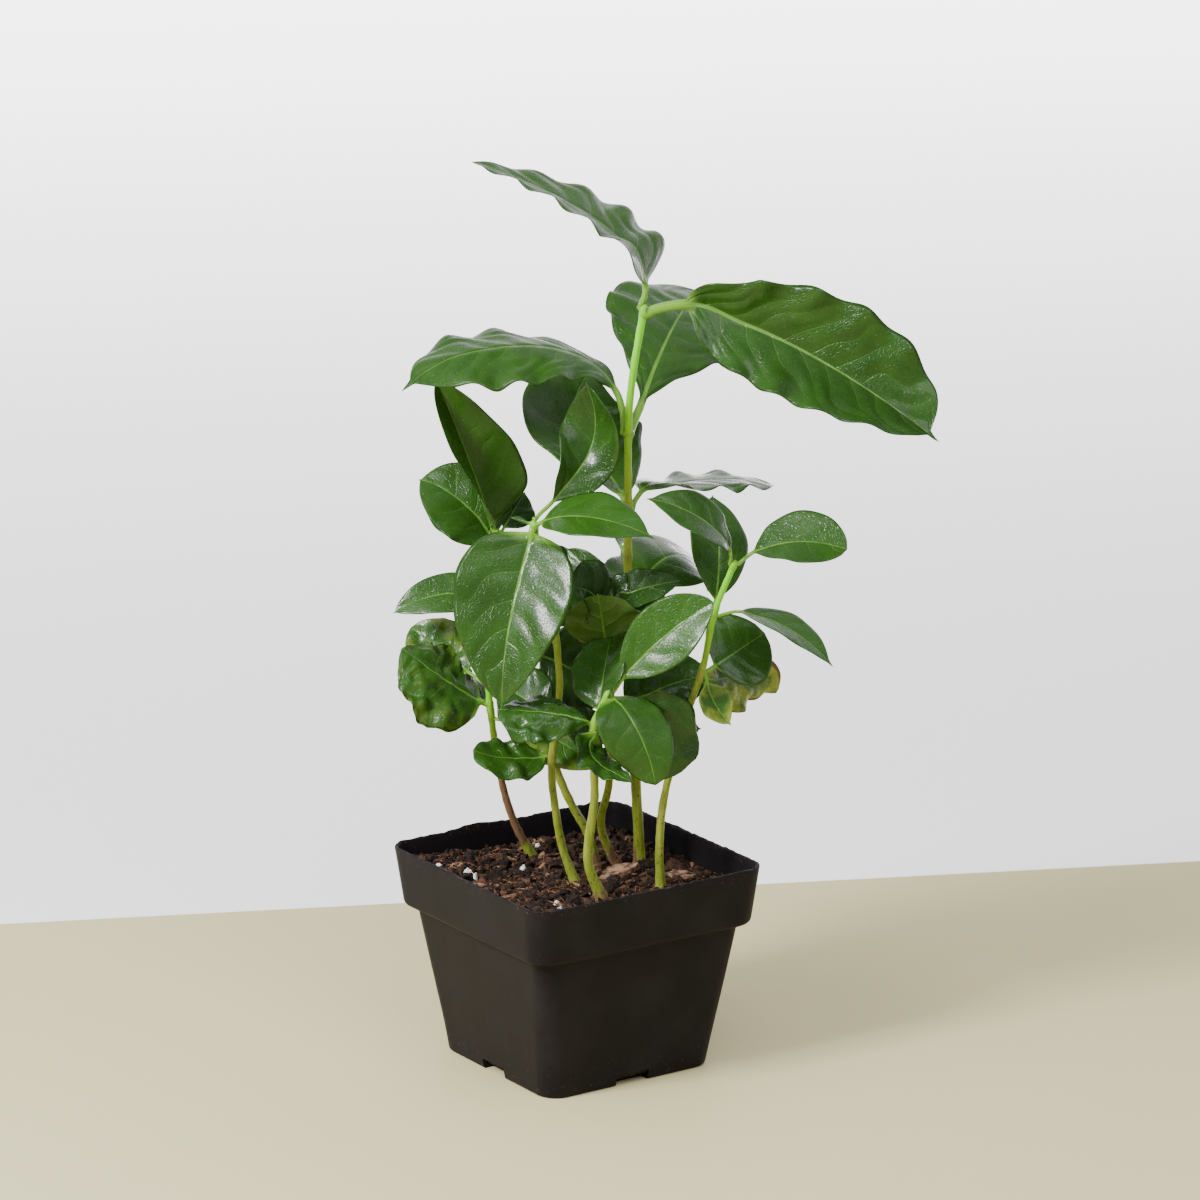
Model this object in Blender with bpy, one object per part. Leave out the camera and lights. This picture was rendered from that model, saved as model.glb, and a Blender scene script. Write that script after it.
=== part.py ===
"""A potted coffee plant: seven young seedlings growing together in a square nursery pot.

Blender 4.5, metres, +Z up. The origin is the centre of the pot's flat underside, and the pot's
sides lie along X and Y. Sizes are named in millimetres and turned to metres by MM.
Headings are degrees anticlockwise from +X, seen from above.
"""
import bmesh
import bpy
import numpy as np
from mathutils import Matrix, Vector

MM = 0.001
GAP = 0.3                 # clearance between pieces that touch

# ---- the pot: a thin-walled tapered body under a wide rim band -------------------------------
POT_HEIGHT = 76.7
RIM_SIDE = 100.0          # across the top, outside
RIM_FOOT_SIDE = 95.1      # across the lower edge of the rim band
RIM_HEIGHT = 22.0
BODY_TOP_SIDE = 87.5
FOOT_SIDE = 71.2
CORNER = 9.0              # radius of the upright corners
WALL = 1.4
FLOOR = 1.5
NOTCH = (14.0, 9.0, 4.0)  # drainage slot at the middle of each side: width, depth, height
CORNER_STEPS = 5

# ---- the soil fills the pot to a little under the rim ----------------------------------------
SOIL_TOP = 67.0

# ---- the leaves ------------------------------------------------------------------------------
LEAF_SIDES = 8            # points round a leaf's section
BLADE_THICKNESS = 0.014   # of the leaf's length, at the midrib
THINNEST = 0.7
THINNEST_STALK = 0.55     # radius of the thinnest petiole
STALK_SHARE = 0.027       # of the leaf's width: radius of the petiole
THINNEST_TIP = 0.35       # half the width that the tip ends with
FLATTENING = 0.12         # share of the blade in which the petiole flattens out
TIP_TAPER = 0.2           # share of the blade in which it thins towards the tip
TIP_THICKNESS = 0.45      # what is left there of its thickness
SHORT_LEAF = 45           # up to this length a leaf is made of fewer sections
SHORT_ROWS = 10
LONG_ROWS = 15
ROW_CROWDING = 0.9        # sections stand a little closer towards the tip
SEAT = GAP + 0.05         # clearance between a petiole's flat end and the stem's side
# Outline of the blade: where it is widest, how full it is, and the share taken by the drip tip.
LONG = dict(belly=0.46, full=0.75, drip=0.10)
OVAL = dict(belly=0.46, full=0.65, drip=0.06)
ROUND = dict(belly=0.46, full=0.55, drip=0.0)
FRONT = 236               # heading of the light that most leaves turn to

STEM_GREEN = (0.24, 0.36, 0.08)
LEAF_GREEN = (0.035, 0.13, 0.025)
OLD_LEAF = (0.12, 0.19, 0.035)

# Each seedling: the way of its stem from the soil up (x, y, z), its radius at foot and top, and
# its leaves. A leaf leaves the stem at height `at` and ends `reach` out along `heading` and
# `rise` up. `arch` lifts and `bow` shifts (to the left) the middle of its midrib off the
# straight line, most at `peak`. `width` is across the blade, `faces` is the heading and
# height in degrees that the upper side looks to, `fold` tilts its halves up, in degrees, and
# `twist` turns the blade along its length.
SEEDLINGS = {
    "left": dict(
        way=[(1, 30), (-7, 30, 82), (-12, 30, 97), (-17, 28, 117), (-21, 26, 139)],
        radii=(1.6, 1.1),
        leaves={
            "left_leaf_low": dict(at=130, heading=163, reach=34, rise=17, arch=-2, width=35,
                                  faces=(FRONT, 35), shape=ROUND, old=True),
            "left_leaf_high": dict(at=137, heading=106, reach=37, rise=15, width=24,
                                   petiole=8, faces=(FRONT, 25), shape=ROUND, old=True),
            "left_leaf_back": dict(at=127, heading=75, reach=31, rise=3, arch=4, width=22,
                                   faces=(75, 75), shape=ROUND),
            "left_leaf_inner": dict(at=124, heading=302, reach=43, rise=-14, arch=3, width=22,
                                    faces=(237, 32), shape=OVAL),
        }),
    "middle": dict(
        way=[(-3, -4), (-7, -2, 80), (-10, -2, 94), (-12, -2, 113), (-10, -4, 137),
             (-11, -4, 158), (-15, -3, 182), (-19, -1, 204)],
        radii=(1.6, 1.0),
        leaves={
            "middle_leaf_shield": dict(at=201, heading=205, reach=21, rise=-62, arch=4, width=44,
                                       petiole=3, faces=(241, 15), belly=0.44, shape=OVAL),
            "middle_leaf_upright": dict(at=204, heading=353, reach=25, rise=39, arch=-8, width=24,
                                        fold=10, faces=(241, 30), belly=0.54, shape=OVAL),
            "middle_leaf_right": dict(at=202, heading=307, reach=45, rise=-1, arch=4, width=24,
                                      fold=12, faces=(FRONT, 58), shape=LONG),
            "middle_leaf_young": dict(at=203, heading=150, reach=8, rise=2, width=3, petiole=1,
                                      fold=30, faces=(FRONT, 70), shape=OVAL),
            "middle_leaf_foot": dict(at=116, heading=161, reach=29, rise=3, arch=-2, width=19,
                                     faces=(FRONT, 45), shape=ROUND),
            "middle_leaf_dark": dict(at=128, heading=105, reach=29, rise=2, arch=2, width=16,
                                     faces=(FRONT, 30), shape=LONG),
            "middle_leaf_rear": dict(at=159, heading=108, reach=39, rise=-2, arch=4, width=26,
                                     faces=(114, 51), shape=OVAL),
        }),
    "slanting": dict(
        way=[(17, 13), (14, 14, 79), (9, 17, 90), (4, 21, 106), (-1, 26, 132), (-7, 30, 162),
             (-11, 34, 192)],
        radii=(1.6, 1.0),
        leaves={
            "slanting_leaf_upright": dict(at=191, heading=161, reach=23, rise=56, width=38,
                                          fold=30, faces=(281, 15), shape=LONG),
            "slanting_leaf_round": dict(at=187, heading=123, reach=31, rise=19, arch=2, width=32,
                                        faces=(FRONT, 35), shape=OVAL),
            "slanting_leaf_back": dict(at=190, heading=30, reach=26, rise=11, width=16,
                                       petiole=3, faces=(FRONT, 20), shape=LONG),
            "slanting_leaf_side": dict(at=164, heading=147, reach=43, rise=-3, arch=6, width=16,
                                       faces=(FRONT, 40), shape=OVAL),
            "slanting_leaf_far": dict(at=166, heading=347, reach=28, rise=3, arch=3, width=24,
                                      faces=(FRONT, 25), shape=OVAL),
            "slanting_leaf_low": dict(at=146, heading=326, reach=27, rise=-18, arch=3, width=30,
                                      faces=(FRONT, 20), shape=ROUND),
            "slanting_leaf_rear": dict(at=139, heading=54, reach=45, rise=-5, arch=5, width=29,
                                       faces=(58, 62), shape=OVAL),
            "slanting_leaf_foot": dict(at=104, heading=60, reach=45, rise=7, arch=5, width=27,
                                       faces=(71, 56), shape=OVAL),
        }),
    "front": dict(
        way=[(-5, -24), (-10, -23, 80), (-10, -23, 90), (-9, -25, 105), (-10, -26, 120),
             (-10, -26, 132), (-5, -29, 146)],
        radii=(1.8, 1.1),
        leaves={
            "front_leaf_drooping": dict(at=144, heading=281, reach=21, rise=-29, arch=3, bow=-2,
                                        width=27, petiole=3, faces=(FRONT, 30), shape=OVAL),
            "front_leaf_rising": dict(at=146, heading=321, reach=36, rise=33, arch=2, width=24,
                                      fold=10, faces=(FRONT, 30), shape=OVAL),
            "front_leaf_round": dict(at=135, heading=44, reach=16, rise=27, bow=-1, width=25,
                                     petiole=6, faces=(216, 10), shape=ROUND),
            "front_leaf_dark": dict(at=141, heading=337, reach=22, rise=-30, arch=7, width=27,
                                    petiole=6, fold=6, faces=(246, 20), shape=ROUND),
            "front_leaf_left": dict(at=133, heading=161, reach=34, rise=5, width=20,
                                    faces=(FRONT, 50), shape=OVAL),
            "front_leaf_low": dict(at=131, heading=272, reach=18, rise=-14, arch=-3, width=20,
                                   faces=(FRONT, 30), shape=OVAL),
        }),
    "inner": dict(
        way=[(22, 6), (17, 6, 76), (14, 5, 86), (14, 0, 100), (12, -5, 122), (10, -7, 146),
             (8, -8, 172)],
        radii=(1.5, 1.0),
        leaves={
            "inner_leaf_right": dict(at=171, heading=313, reach=26, rise=7, arch=2, width=22,
                                     fold=4, faces=(FRONT, 25), shape=LONG),
            "inner_leaf_left": dict(at=170, heading=101, reach=23, rise=16, arch=2, width=18,
                                    faces=(FRONT, 30), shape=LONG),
            "inner_leaf_flat": dict(at=168, heading=191, reach=17, rise=12, arch=3, width=18,
                                    faces=(FRONT, 80), shape=LONG),
            "inner_leaf_turned": dict(at=151, heading=222, reach=18, rise=26, width=22,
                                      faces=(56, 40), shape=OVAL),
            "inner_leaf_low": dict(at=119, heading=200, reach=22, rise=3, arch=3, width=22,
                                   faces=(FRONT, 30), shape=ROUND),
            "inner_leaf_front": dict(at=128, heading=324, reach=37, rise=16, arch=3, width=27,
                                     faces=(252, 34), shape=LONG),
            "inner_leaf_back": dict(at=112, heading=70, reach=30, rise=2, arch=5, width=20,
                                    faces=(70, 75), shape=OVAL),
        }),
    "tall": dict(
        way=[(27, -1), (25, -3, 82), (24, -3, 97), (22, -3, 132), (21, -2, 169), (21, -2, 203),
             (21, -2, 231), (22, -3, 250), (26, -5, 277)],
        radii=(1.9, 1.3),
        leaves={
            "tall_leaf_top_left": dict(at=275, heading=126, reach=64, rise=48, arch=11, peak=0.38,
                                       twist=30, width=34, petiole=9, fold=24, faces=(331, 60),
                                       belly=0.36, shape=OVAL),
            "tall_leaf_top_right": dict(at=274, heading=312, reach=106, rise=-41, arch=14,
                                        peak=0.48, width=46, petiole=13, fold=24,
                                        faces=(226, 36), belly=0.53, full=0.55, shape=LONG),
            "tall_leaf_far": dict(at=230, heading=35, reach=91, rise=35, arch=14, bow=-1,
                                  width=46, petiole=9, fold=-4, faces=(241, 70), belly=0.62,
                                  full=0.6, shape=LONG),
            "tall_leaf_left": dict(at=230, heading=160, reach=82, rise=20, arch=23, peak=0.45,
                                   width=42, petiole=10, fold=-8, faces=(FRONT, 77),
                                   belly=0.54, full=0.55, shape=LONG),
            "tall_leaf_rear": dict(at=203, heading=65, reach=51, rise=47, arch=2, bow=13,
                                   width=45, petiole=8, fold=4, faces=(FRONT, 55), shape=LONG),
            "tall_leaf_level": dict(at=202, heading=2, reach=64, rise=2, arch=3, peak=0.4,
                                    width=31, petiole=6, fold=4, faces=(FRONT, 84), belly=0.4,
                                    full=0.5, shape=LONG),
            "tall_leaf_dome": dict(at=169, heading=15, reach=46, rise=-5, arch=14, width=38,
                                   petiole=6, fold=-6, faces=(FRONT, 65), full=0.6, shape=LONG),
            "tall_leaf_low": dict(at=112, heading=339, reach=25, rise=7, arch=3, width=18,
                                  faces=(FRONT, 50), shape=LONG, old=True),
            "tall_leaf_back": dict(at=140, heading=33, reach=34, rise=2, arch=5, width=26,
                                   faces=(33, 75), shape=OVAL),
            "tall_leaf_inner": dict(at=185, heading=86, reach=45, rise=11, arch=6, width=23,
                                    faces=(65, 49), shape=OVAL),
            "tall_leaf_behind": dict(at=154, heading=52, reach=45, rise=20, arch=5, width=25,
                                     faces=(48, 48), shape=ROUND),
            "tall_leaf_foot": dict(at=104, heading=40, reach=46, rise=-5, arch=3, width=27,
                                   faces=(31, 73), shape=LONG),
        }),
    "right": dict(
        way=[(19, -26), (17, -28, 83), (18, -29, 101), (23, -32, 126), (29, -37, 150),
             (33, -39, 171), (39, -43, 190)],
        radii=(1.6, 1.1),
        leaves={
            "right_leaf_top": dict(at=189, heading=314, reach=40, rise=8, arch=7, width=22,
                                   faces=(FRONT, 50), shape=OVAL),
            "right_leaf_arching": dict(at=188, heading=161, reach=32, rise=26, arch=6, width=22,
                                       faces=(FRONT, 60), shape=LONG),
            "right_leaf_upright": dict(at=170, heading=57, reach=24, rise=39, width=22,
                                       faces=(FRONT, 20), shape=OVAL),
            "right_leaf_falling": dict(at=170, heading=305, reach=44, rise=-14, arch=8, width=20,
                                       petiole=7, faces=(FRONT, 75), shape=LONG),
            "right_leaf_round": dict(at=149, heading=355, reach=26, rise=11, width=29, fold=6,
                                     faces=(FRONT, 25), shape=ROUND),
            "right_leaf_old": dict(at=147, heading=17, reach=36, rise=-20, arch=8, width=29,
                                   faces=(FRONT, 25), shape=ROUND, old=True),
            "right_leaf_folded": dict(at=149, heading=298, reach=12, rise=-18, arch=-2, width=14,
                                      petiole=3, fold=25, faces=(256, 10), shape=LONG, old=True),
        }),
}


# ---- the scene starts empty ------------------------------------------------------------------
for leftover in list(bpy.data.objects):
    bpy.data.objects.remove(leftover, do_unlink=True)

PLANT = bpy.data.collections.new("potted_coffee_plant")
CUTTERS = bpy.data.collections.new("cutters")
bpy.context.scene.collection.children.link(PLANT)
bpy.context.scene.collection.children.link(CUTTERS)


def plain_material(name, colour, roughness):
    material = bpy.data.materials.new(name)
    material.use_nodes = True
    shader = material.node_tree.nodes["Principled BSDF"]
    shader.inputs["Base Color"].default_value = (*colour, 1.0)
    shader.inputs["Roughness"].default_value = roughness
    shader.inputs["Metallic"].default_value = 0.0
    return material


def add_object(name, mesh, material, collection=PLANT):
    piece = bpy.data.objects.new(name, mesh)
    mesh.materials.append(material)
    collection.objects.link(piece)
    return piece


# ---- pot and soil: square frustums with rounded upright corners ------------------------------
def rounded_frustum(name, low_side, high_side, low, high, corner):
    """A square frustum between two heights whose upright edges are rounded to `corner`."""
    mesh = bpy.data.meshes.new(name)
    shape = bmesh.new()
    bmesh.ops.create_cone(
        shape, cap_ends=True, segments=4, depth=(high - low) * MM,
        radius1=low_side / np.sqrt(2) * MM, radius2=high_side / np.sqrt(2) * MM,
        matrix=Matrix.Translation((0, 0, (low + high) / 2 * MM)) @ Matrix.Rotation(np.pi / 4, 4, "Z"))
    upright = [edge for edge in shape.edges if abs(edge.verts[0].co.z - edge.verts[1].co.z) > MM]
    bmesh.ops.bevel(shape, geom=upright, offset=corner * MM, offset_type="OFFSET",
                    segments=CORNER_STEPS, profile=0.5, affect="EDGES")
    shape.to_mesh(mesh)
    shape.free()
    return mesh


def cut_or_join(piece, tool, operation):
    """Apply one exact Boolean with the tool, which stays as a wire guide in the cutters."""
    step = piece.modifiers.new(tool.name, "BOOLEAN")
    step.object = tool
    step.operation = operation
    step.solver = "EXACT"
    tool.hide_render = True
    tool.display_type = "WIRE"


def frustum_tool(name, *sizes):
    return add_object(name, rounded_frustum(name, *sizes), BLACK_PLASTIC, CUTTERS)


BLACK_PLASTIC = plain_material("black_plastic", (0.022, 0.020, 0.018), 0.45)
PEAT = plain_material("peat", (0.055, 0.030, 0.018), 0.95)

RIM_FOOT = POT_HEIGHT - RIM_HEIGHT
STEP = RIM_FOOT + WALL    # inside, the pot widens here

pot = add_object(
    "pot", rounded_frustum("pot", FOOT_SIDE, BODY_TOP_SIDE, 0, RIM_FOOT + WALL / 2, CORNER - 1),
    BLACK_PLASTIC)
cut_or_join(pot, frustum_tool("rim_band", RIM_FOOT_SIDE, RIM_SIDE, RIM_FOOT, POT_HEIGHT, CORNER),
            "UNION")
cut_or_join(pot, frustum_tool("body_hollow", FOOT_SIDE - 2 * WALL, BODY_TOP_SIDE - 2 * WALL,
                              FLOOR, STEP + 1, CORNER - 1 - WALL), "DIFFERENCE")
cut_or_join(pot, frustum_tool("rim_hollow", RIM_FOOT_SIDE - 2 * WALL, RIM_SIDE - 2 * WALL,
                              STEP, POT_HEIGHT + 0.01, CORNER - WALL), "DIFFERENCE")
for quarter in range(4):
    width, depth, height = NOTCH
    box = bmesh.new()
    bmesh.ops.create_cube(box, size=1.0, matrix=Matrix.Rotation(quarter * np.pi / 2, 4, "Z")
                          @ Matrix.Translation((0, -FOOT_SIDE / 2 * MM, 0))
                          @ Matrix.Diagonal((width * MM, depth * MM, 2 * height * MM, 1)))
    slot_mesh = bpy.data.meshes.new(f"drain_slot_{quarter + 1}")
    box.to_mesh(slot_mesh)
    box.free()
    cut_or_join(pot, add_object(slot_mesh.name, slot_mesh, BLACK_PLASTIC, CUTTERS), "DIFFERENCE")


def hollow_side(height):
    """Side of the hollow of the pot's body at a height."""
    share = (height - FLOOR) / (STEP + 1 - FLOOR)
    return FOOT_SIDE - 2 * WALL + share * (BODY_TOP_SIDE - FOOT_SIDE)


SOIL_FOOT = FLOOR + GAP
SLACK = 2 * GAP + 0.2
soil = add_object(
    "soil", rounded_frustum("soil", hollow_side(SOIL_FOOT) - SLACK, hollow_side(STEP) - SLACK,
                            SOIL_FOOT, STEP + GAP + 1, CORNER - 1 - WALL), PEAT)
cut_or_join(soil, frustum_tool("soil_brim", RIM_FOOT_SIDE - 2 * WALL - SLACK,
                               RIM_FOOT_SIDE - 2 * WALL - SLACK + 2, STEP + GAP, SOIL_TOP,
                               CORNER - WALL), "UNION")


# ---- stems: tapering tubes with a root flare, cut flat at the soil ---------------------------
STEM_POINTS = 16          # knots of a stem's tube
AXIS_POINTS = 160         # points of a stem's axis where its leaves look for their place
UPRIGHT_FOOT = 0.8        # a stem stands upright for this long above its flat cut
STEM_FLARE = 0.45         # how much wider the foot is than the stem just above it
FLARE_HEIGHT = 4.0


def smooth_way(way, count):
    """Points of a Catmull-Rom curve through the way, evenly spread in height."""
    knots = np.array([(*way[0], SOIL_TOP + GAP)] + [list(point) for point in way[1:]], float)
    knots = np.vstack([2 * knots[0] - knots[1], knots, 2 * knots[-1] - knots[-2]])
    pieces = []
    for before, start, end, after in zip(knots, knots[1:], knots[2:], knots[3:]):
        t = np.linspace(0, 1, 12)[:, None]
        pieces.append(0.5 * (2 * start + (end - before) * t
                             + (2 * before - 5 * start + 4 * end - after) * t ** 2
                             + (3 * start - before - 3 * end + after) * t ** 3))
    dense = np.vstack(pieces)
    heights = np.linspace(dense[0, 2], dense[-1, 2], count)
    return np.stack([np.interp(heights, dense[:, 2], dense[:, axis]) for axis in (0, 1, 2)], 1)


def stem_radius(seedling, height):
    """Radius at a height: an even taper, and the flare just over the soil."""
    foot, top = seedling["radii"]
    share = (height - SOIL_TOP) / (seedling["way"][-1][2] - SOIL_TOP)
    flare = 1 + STEM_FLARE * np.exp(-(height - SOIL_TOP - GAP) / FLARE_HEIGHT)
    return (foot + (top - foot) * share) * flare


def add_stem(name, seedling):
    points = smooth_way(seedling["way"], STEM_POINTS)
    upright_end = points[0] + (0, 0, UPRIGHT_FOOT)
    points = np.vstack([points[:1], upright_end[None], points[1:]])
    curve = bpy.data.curves.new(name, "CURVE")
    curve.dimensions = "3D"
    curve.bevel_depth = MM
    curve.bevel_resolution = 2
    curve.use_fill_caps = True
    spline = curve.splines.new("POLY")
    spline.points.add(len(points) - 1)
    for knot, place in zip(spline.points, points):
        knot.co = (*(place * MM), 1.0)
        knot.radius = stem_radius(seedling, place[2])
    stem = bpy.data.objects.new(f"stem_{name}", curve)
    curve.materials.append(STEM)
    PLANT.objects.link(stem)
    return stem


# ---- leaves: a round petiole that flattens into a thin folded blade --------------------------
def unit(vectors):
    return vectors / np.linalg.norm(vectors, axis=-1, keepdims=True)


def direction(heading, height):
    heading, height = np.radians(heading), np.radians(height)
    return np.array([np.cos(heading) * np.cos(height), np.sin(heading) * np.cos(height),
                     np.sin(height)])


DRIP_WIDTH = 0.16         # of the half width, where the drip tip leaves the bow
DRIP_LENGTH = 0.16        # of the blade
DRIP_START = 0.5          # along the blade, the drip tip fades in from here
DRIP_FADE = 0.4


def half_width(v, belly, full, drip):
    """Share of the half width at v along the blade: a full bow, then a narrow drip tip."""
    body = np.sin(np.pi * np.clip(v / (1 - drip / 2), 0, 1) ** (np.log(0.5) / np.log(belly))) ** full
    near_tip = np.clip((v - DRIP_START) / DRIP_FADE, 0, 1)
    spike = DRIP_WIDTH * np.clip((1 - v) / DRIP_LENGTH, 0, 1) ** 0.8
    return np.maximum(body, spike * near_tip ** 2 * (3 - 2 * near_tip) * (drip > 0))


def leaf_sections(seedling, at, heading, reach, rise, width, faces, shape, petiole=4, arch=0,
                  bow=0, peak=0.5, twist=0, fold=8, belly=None, full=None, old=False):
    """Closed sections of a leaf, from the stem's side to the tip: an array (rows, points, 3)."""
    way = smooth_way(seedling["way"], AXIS_POINTS)
    axis_point = np.array([np.interp(at, way[:, 2], way[:, 0]),
                           np.interp(at, way[:, 2], way[:, 1]), at])
    row = min(np.searchsorted(way[:, 2], at), len(way) - 2)
    stem_axis = unit(way[row + 1] - way[row - 1])
    outward = direction(heading, 0)
    outward = unit(outward - outward @ stem_axis * stem_axis)
    leftward = direction(heading + 90, 0)
    start = axis_point + outward * (stem_radius(seedling, at) + SEAT)
    chord = axis_point + direction(heading, 0) * reach + (0, 0, rise) - start
    lifted = unit(np.cross(chord, leftward))

    rows = SHORT_ROWS if np.linalg.norm(chord) < SHORT_LEAF else LONG_ROWS
    t = np.linspace(0, 1, rows) ** ROW_CROWDING
    u = t ** (np.log(0.5) / np.log(peak))
    hump = (4 * u * (1 - u))[:, None]
    midrib = start + t[:, None] * chord + hump * (lifted * arch + leftward * bow)
    ahead = unit(np.gradient(midrib, axis=0))
    steps = np.linalg.norm(np.diff(midrib, axis=0), axis=1)
    along = np.concatenate([[0], np.cumsum(steps)])
    v = np.clip((along - petiole) / (along[-1] - petiole), 0, 1)

    up = direction(*faces)
    up = unit(up - (ahead @ up)[:, None] * ahead)
    turn = np.radians(twist * (t - 0.5))[:, None]
    up = up * np.cos(turn) + np.cross(ahead, up) * np.sin(turn)
    across = np.cross(up, ahead)

    outline = half_width(v, belly or shape["belly"], full or shape["full"], shape["drip"])
    stalk = max(THINNEST_STALK, STALK_SHARE * width)
    spread = np.maximum(width / 2 * outline, np.where(v > 0.5, THINNEST_TIP, stalk))
    blade = max(THINNEST, BLADE_THICKNESS * along[-1]) / 2
    flat = np.clip(v / FLATTENING, 0, 1)
    depth = stalk * (1 - flat) + blade * flat * np.clip((1 - v) / TIP_TAPER, TIP_THICKNESS, 1)

    around = np.arange(LEAF_SIDES) * 2 * np.pi / LEAF_SIDES
    sideways = spread[:, None] * np.cos(around)
    tilt = np.radians(fold) * flat[:, None]
    upward = np.abs(sideways) * np.sin(tilt) + depth[:, None] * np.sin(around)
    sections = (midrib[:, None] + (sideways * np.cos(tilt))[..., None] * across[:, None]
                + upward[..., None] * up[:, None])
    # The first section stands flat against the stem's side.
    stem_up = np.cross(outward, np.cross(stem_axis, outward))
    stem_across = np.cross(stem_up, outward)
    sections[0] = (start + stalk * np.cos(around)[:, None] * stem_across
                   + stalk * np.sin(around)[:, None] * stem_up)
    return sections


def add_leaf(name, seedling, leaf):
    """Join the leaf's sections with quads and close both ends."""
    sections = leaf_sections(seedling, **leaf)
    shape = bmesh.new()
    rings = [[shape.verts.new(Vector(point * MM)) for point in ring] for ring in sections]
    for near, far in zip(rings, rings[1:]):
        for side in range(LEAF_SIDES):
            after = (side + 1) % LEAF_SIDES
            shape.faces.new((near[side], near[after], far[after], far[side]))
    shape.faces.new(rings[0][::-1])
    shape.faces.new(rings[-1])
    bmesh.ops.triangulate(shape, faces=list(shape.faces))
    bmesh.ops.recalc_face_normals(shape, faces=list(shape.faces))
    mesh = bpy.data.meshes.new(name)
    shape.to_mesh(mesh)
    shape.free()
    mesh.shade_smooth()
    return add_object(name, mesh, AGED_LEAF if leaf.get("old") else LEAF)


STEM = plain_material("stem_skin", STEM_GREEN, 0.5)
LEAF = plain_material("leaf_skin", LEAF_GREEN, 0.35)
AGED_LEAF = plain_material("old_leaf_skin", OLD_LEAF, 0.5)

for seedling_name, seedling in SEEDLINGS.items():
    add_stem(seedling_name, seedling)
    for leaf_name, leaf in seedling["leaves"].items():
        add_leaf(leaf_name, seedling, leaf)
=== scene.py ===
"""How a potted coffee plant looks: seven seedlings in a square black nursery pot of peat.

Every shape is worked out in millimetres and goes into its mesh in metres. Headings are degrees
anticlockwise from +X, seen from above. The sections follow the plant as it is put together.
"""

import bpy
import numpy as np
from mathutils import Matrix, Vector


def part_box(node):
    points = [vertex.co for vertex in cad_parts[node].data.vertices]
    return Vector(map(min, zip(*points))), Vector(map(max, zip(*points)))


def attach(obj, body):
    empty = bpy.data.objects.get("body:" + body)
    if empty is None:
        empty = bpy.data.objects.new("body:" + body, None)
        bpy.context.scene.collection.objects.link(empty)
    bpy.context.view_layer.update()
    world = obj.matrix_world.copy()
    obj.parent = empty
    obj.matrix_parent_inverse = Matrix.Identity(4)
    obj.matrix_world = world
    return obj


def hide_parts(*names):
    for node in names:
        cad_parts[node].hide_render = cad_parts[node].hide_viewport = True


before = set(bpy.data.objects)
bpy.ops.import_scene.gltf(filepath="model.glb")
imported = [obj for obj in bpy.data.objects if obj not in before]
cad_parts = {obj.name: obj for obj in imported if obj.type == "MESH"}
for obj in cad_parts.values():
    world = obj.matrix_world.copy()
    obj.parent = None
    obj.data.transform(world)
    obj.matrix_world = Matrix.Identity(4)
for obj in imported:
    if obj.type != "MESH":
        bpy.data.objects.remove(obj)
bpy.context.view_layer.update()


# ---- the nursery pot ----
# A thin-walled square tub, injection moulded in black plastic: a tapered body, a wider rim band
# with a rounded lower edge, and a drain slot at the middle of each side. Handling has scuffed it
# and left soil dust on it, and its upper edge is a little ragged.
MM = 0.001
POT_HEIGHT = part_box("pot")[1].z / MM
RIM_SIDE = 2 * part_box("pot")[1].x / MM
RIM_FOOT_SIDE = 95.1
RIM_HEIGHT = 22
BODY_TOP_SIDE = 87.5
FOOT_SIDE = 71.2
RIM_FOOT = POT_HEIGHT - RIM_HEIGHT
WALL = 1.4
FLOOR = 1.5
CORNER = 9
BODY_CORNER_CUT = 1.3  # how much tighter the body's corners are
NOTCH = (14, 9, 4)  # drain slot: width, depth, height
WALL_BOW = 0.25  # how far the thin walls wander
BOW_LENGTH = 45  # and over what length
EDGE_BURR = 0.22  # roughness of the upper edge
EDGE_DEPTH = 1.5  # and how far down it reaches
KINK_PLACE, KINK_WIDTH, KINK_RISE = -12, 7, 1.3  # in the upper edge at the back
CREASE_ANGLE = 38  # only edges sharper than this look sharp


def square_rings(half, radius, corner_steps, side_steps):
    """Squares with these half sides and corner radii, and the way outward at their points: the
    corner's centre, which slides along the straight sides, plus the radius times outward."""
    turn = np.linspace(0, np.pi / 2, corner_steps + 1)
    slide = np.linspace(1, -1, side_steps + 1)[1:-1]
    outward = np.vstack([np.stack([np.cos(turn), np.sin(turn)], 1),
                         np.tile([0, 1], (len(slide), 1))])
    centre = np.vstack([np.ones((len(turn), 2)), np.stack([slide, np.ones(len(slide))], 1)])
    quarters = [np.array([[c, s], [-s, c]]) for c, s in ((1, 0), (0, 1), (-1, 0), (0, -1))]
    centre, outward = (np.vstack([part @ q for q in quarters]) for part in (centre, outward))
    half, radius = half[:, None, None], radius[:, None, None]
    return (half - radius) * centre + radius * outward, outward


def unit(vectors):
    return vectors / np.linalg.norm(vectors, axis=-1, keepdims=True)


def eased_profile(corners, spacing):
    """A bent line through (across, up, radius) corners: each corner is a parabola that starts
    and ends its radius away along the two sides, and the sides get a point every `spacing`."""
    corners = np.array(corners, float)
    share = np.linspace(0, 1, 5)[:, None]
    line = [corners[:1, :2]]
    for before, here, after in zip(corners, corners[1:], corners[2:]):
        start, end = (here[:2] + unit(side[:2] - here[:2]) * here[2] for side in (before, after))
        way = start - line[-1][-1]
        steps = max(int(np.linalg.norm(way) / spacing), 1)
        line.append(line[-1][-1] + np.linspace(0, 1, steps + 1)[1:-1, None] * way)
        line.append((1 - share) ** 2 * start + 2 * share * (1 - share) * here[:2]
                    + share ** 2 * end)
    line.append(corners[-1:, :2])
    return np.vstack(line)


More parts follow.
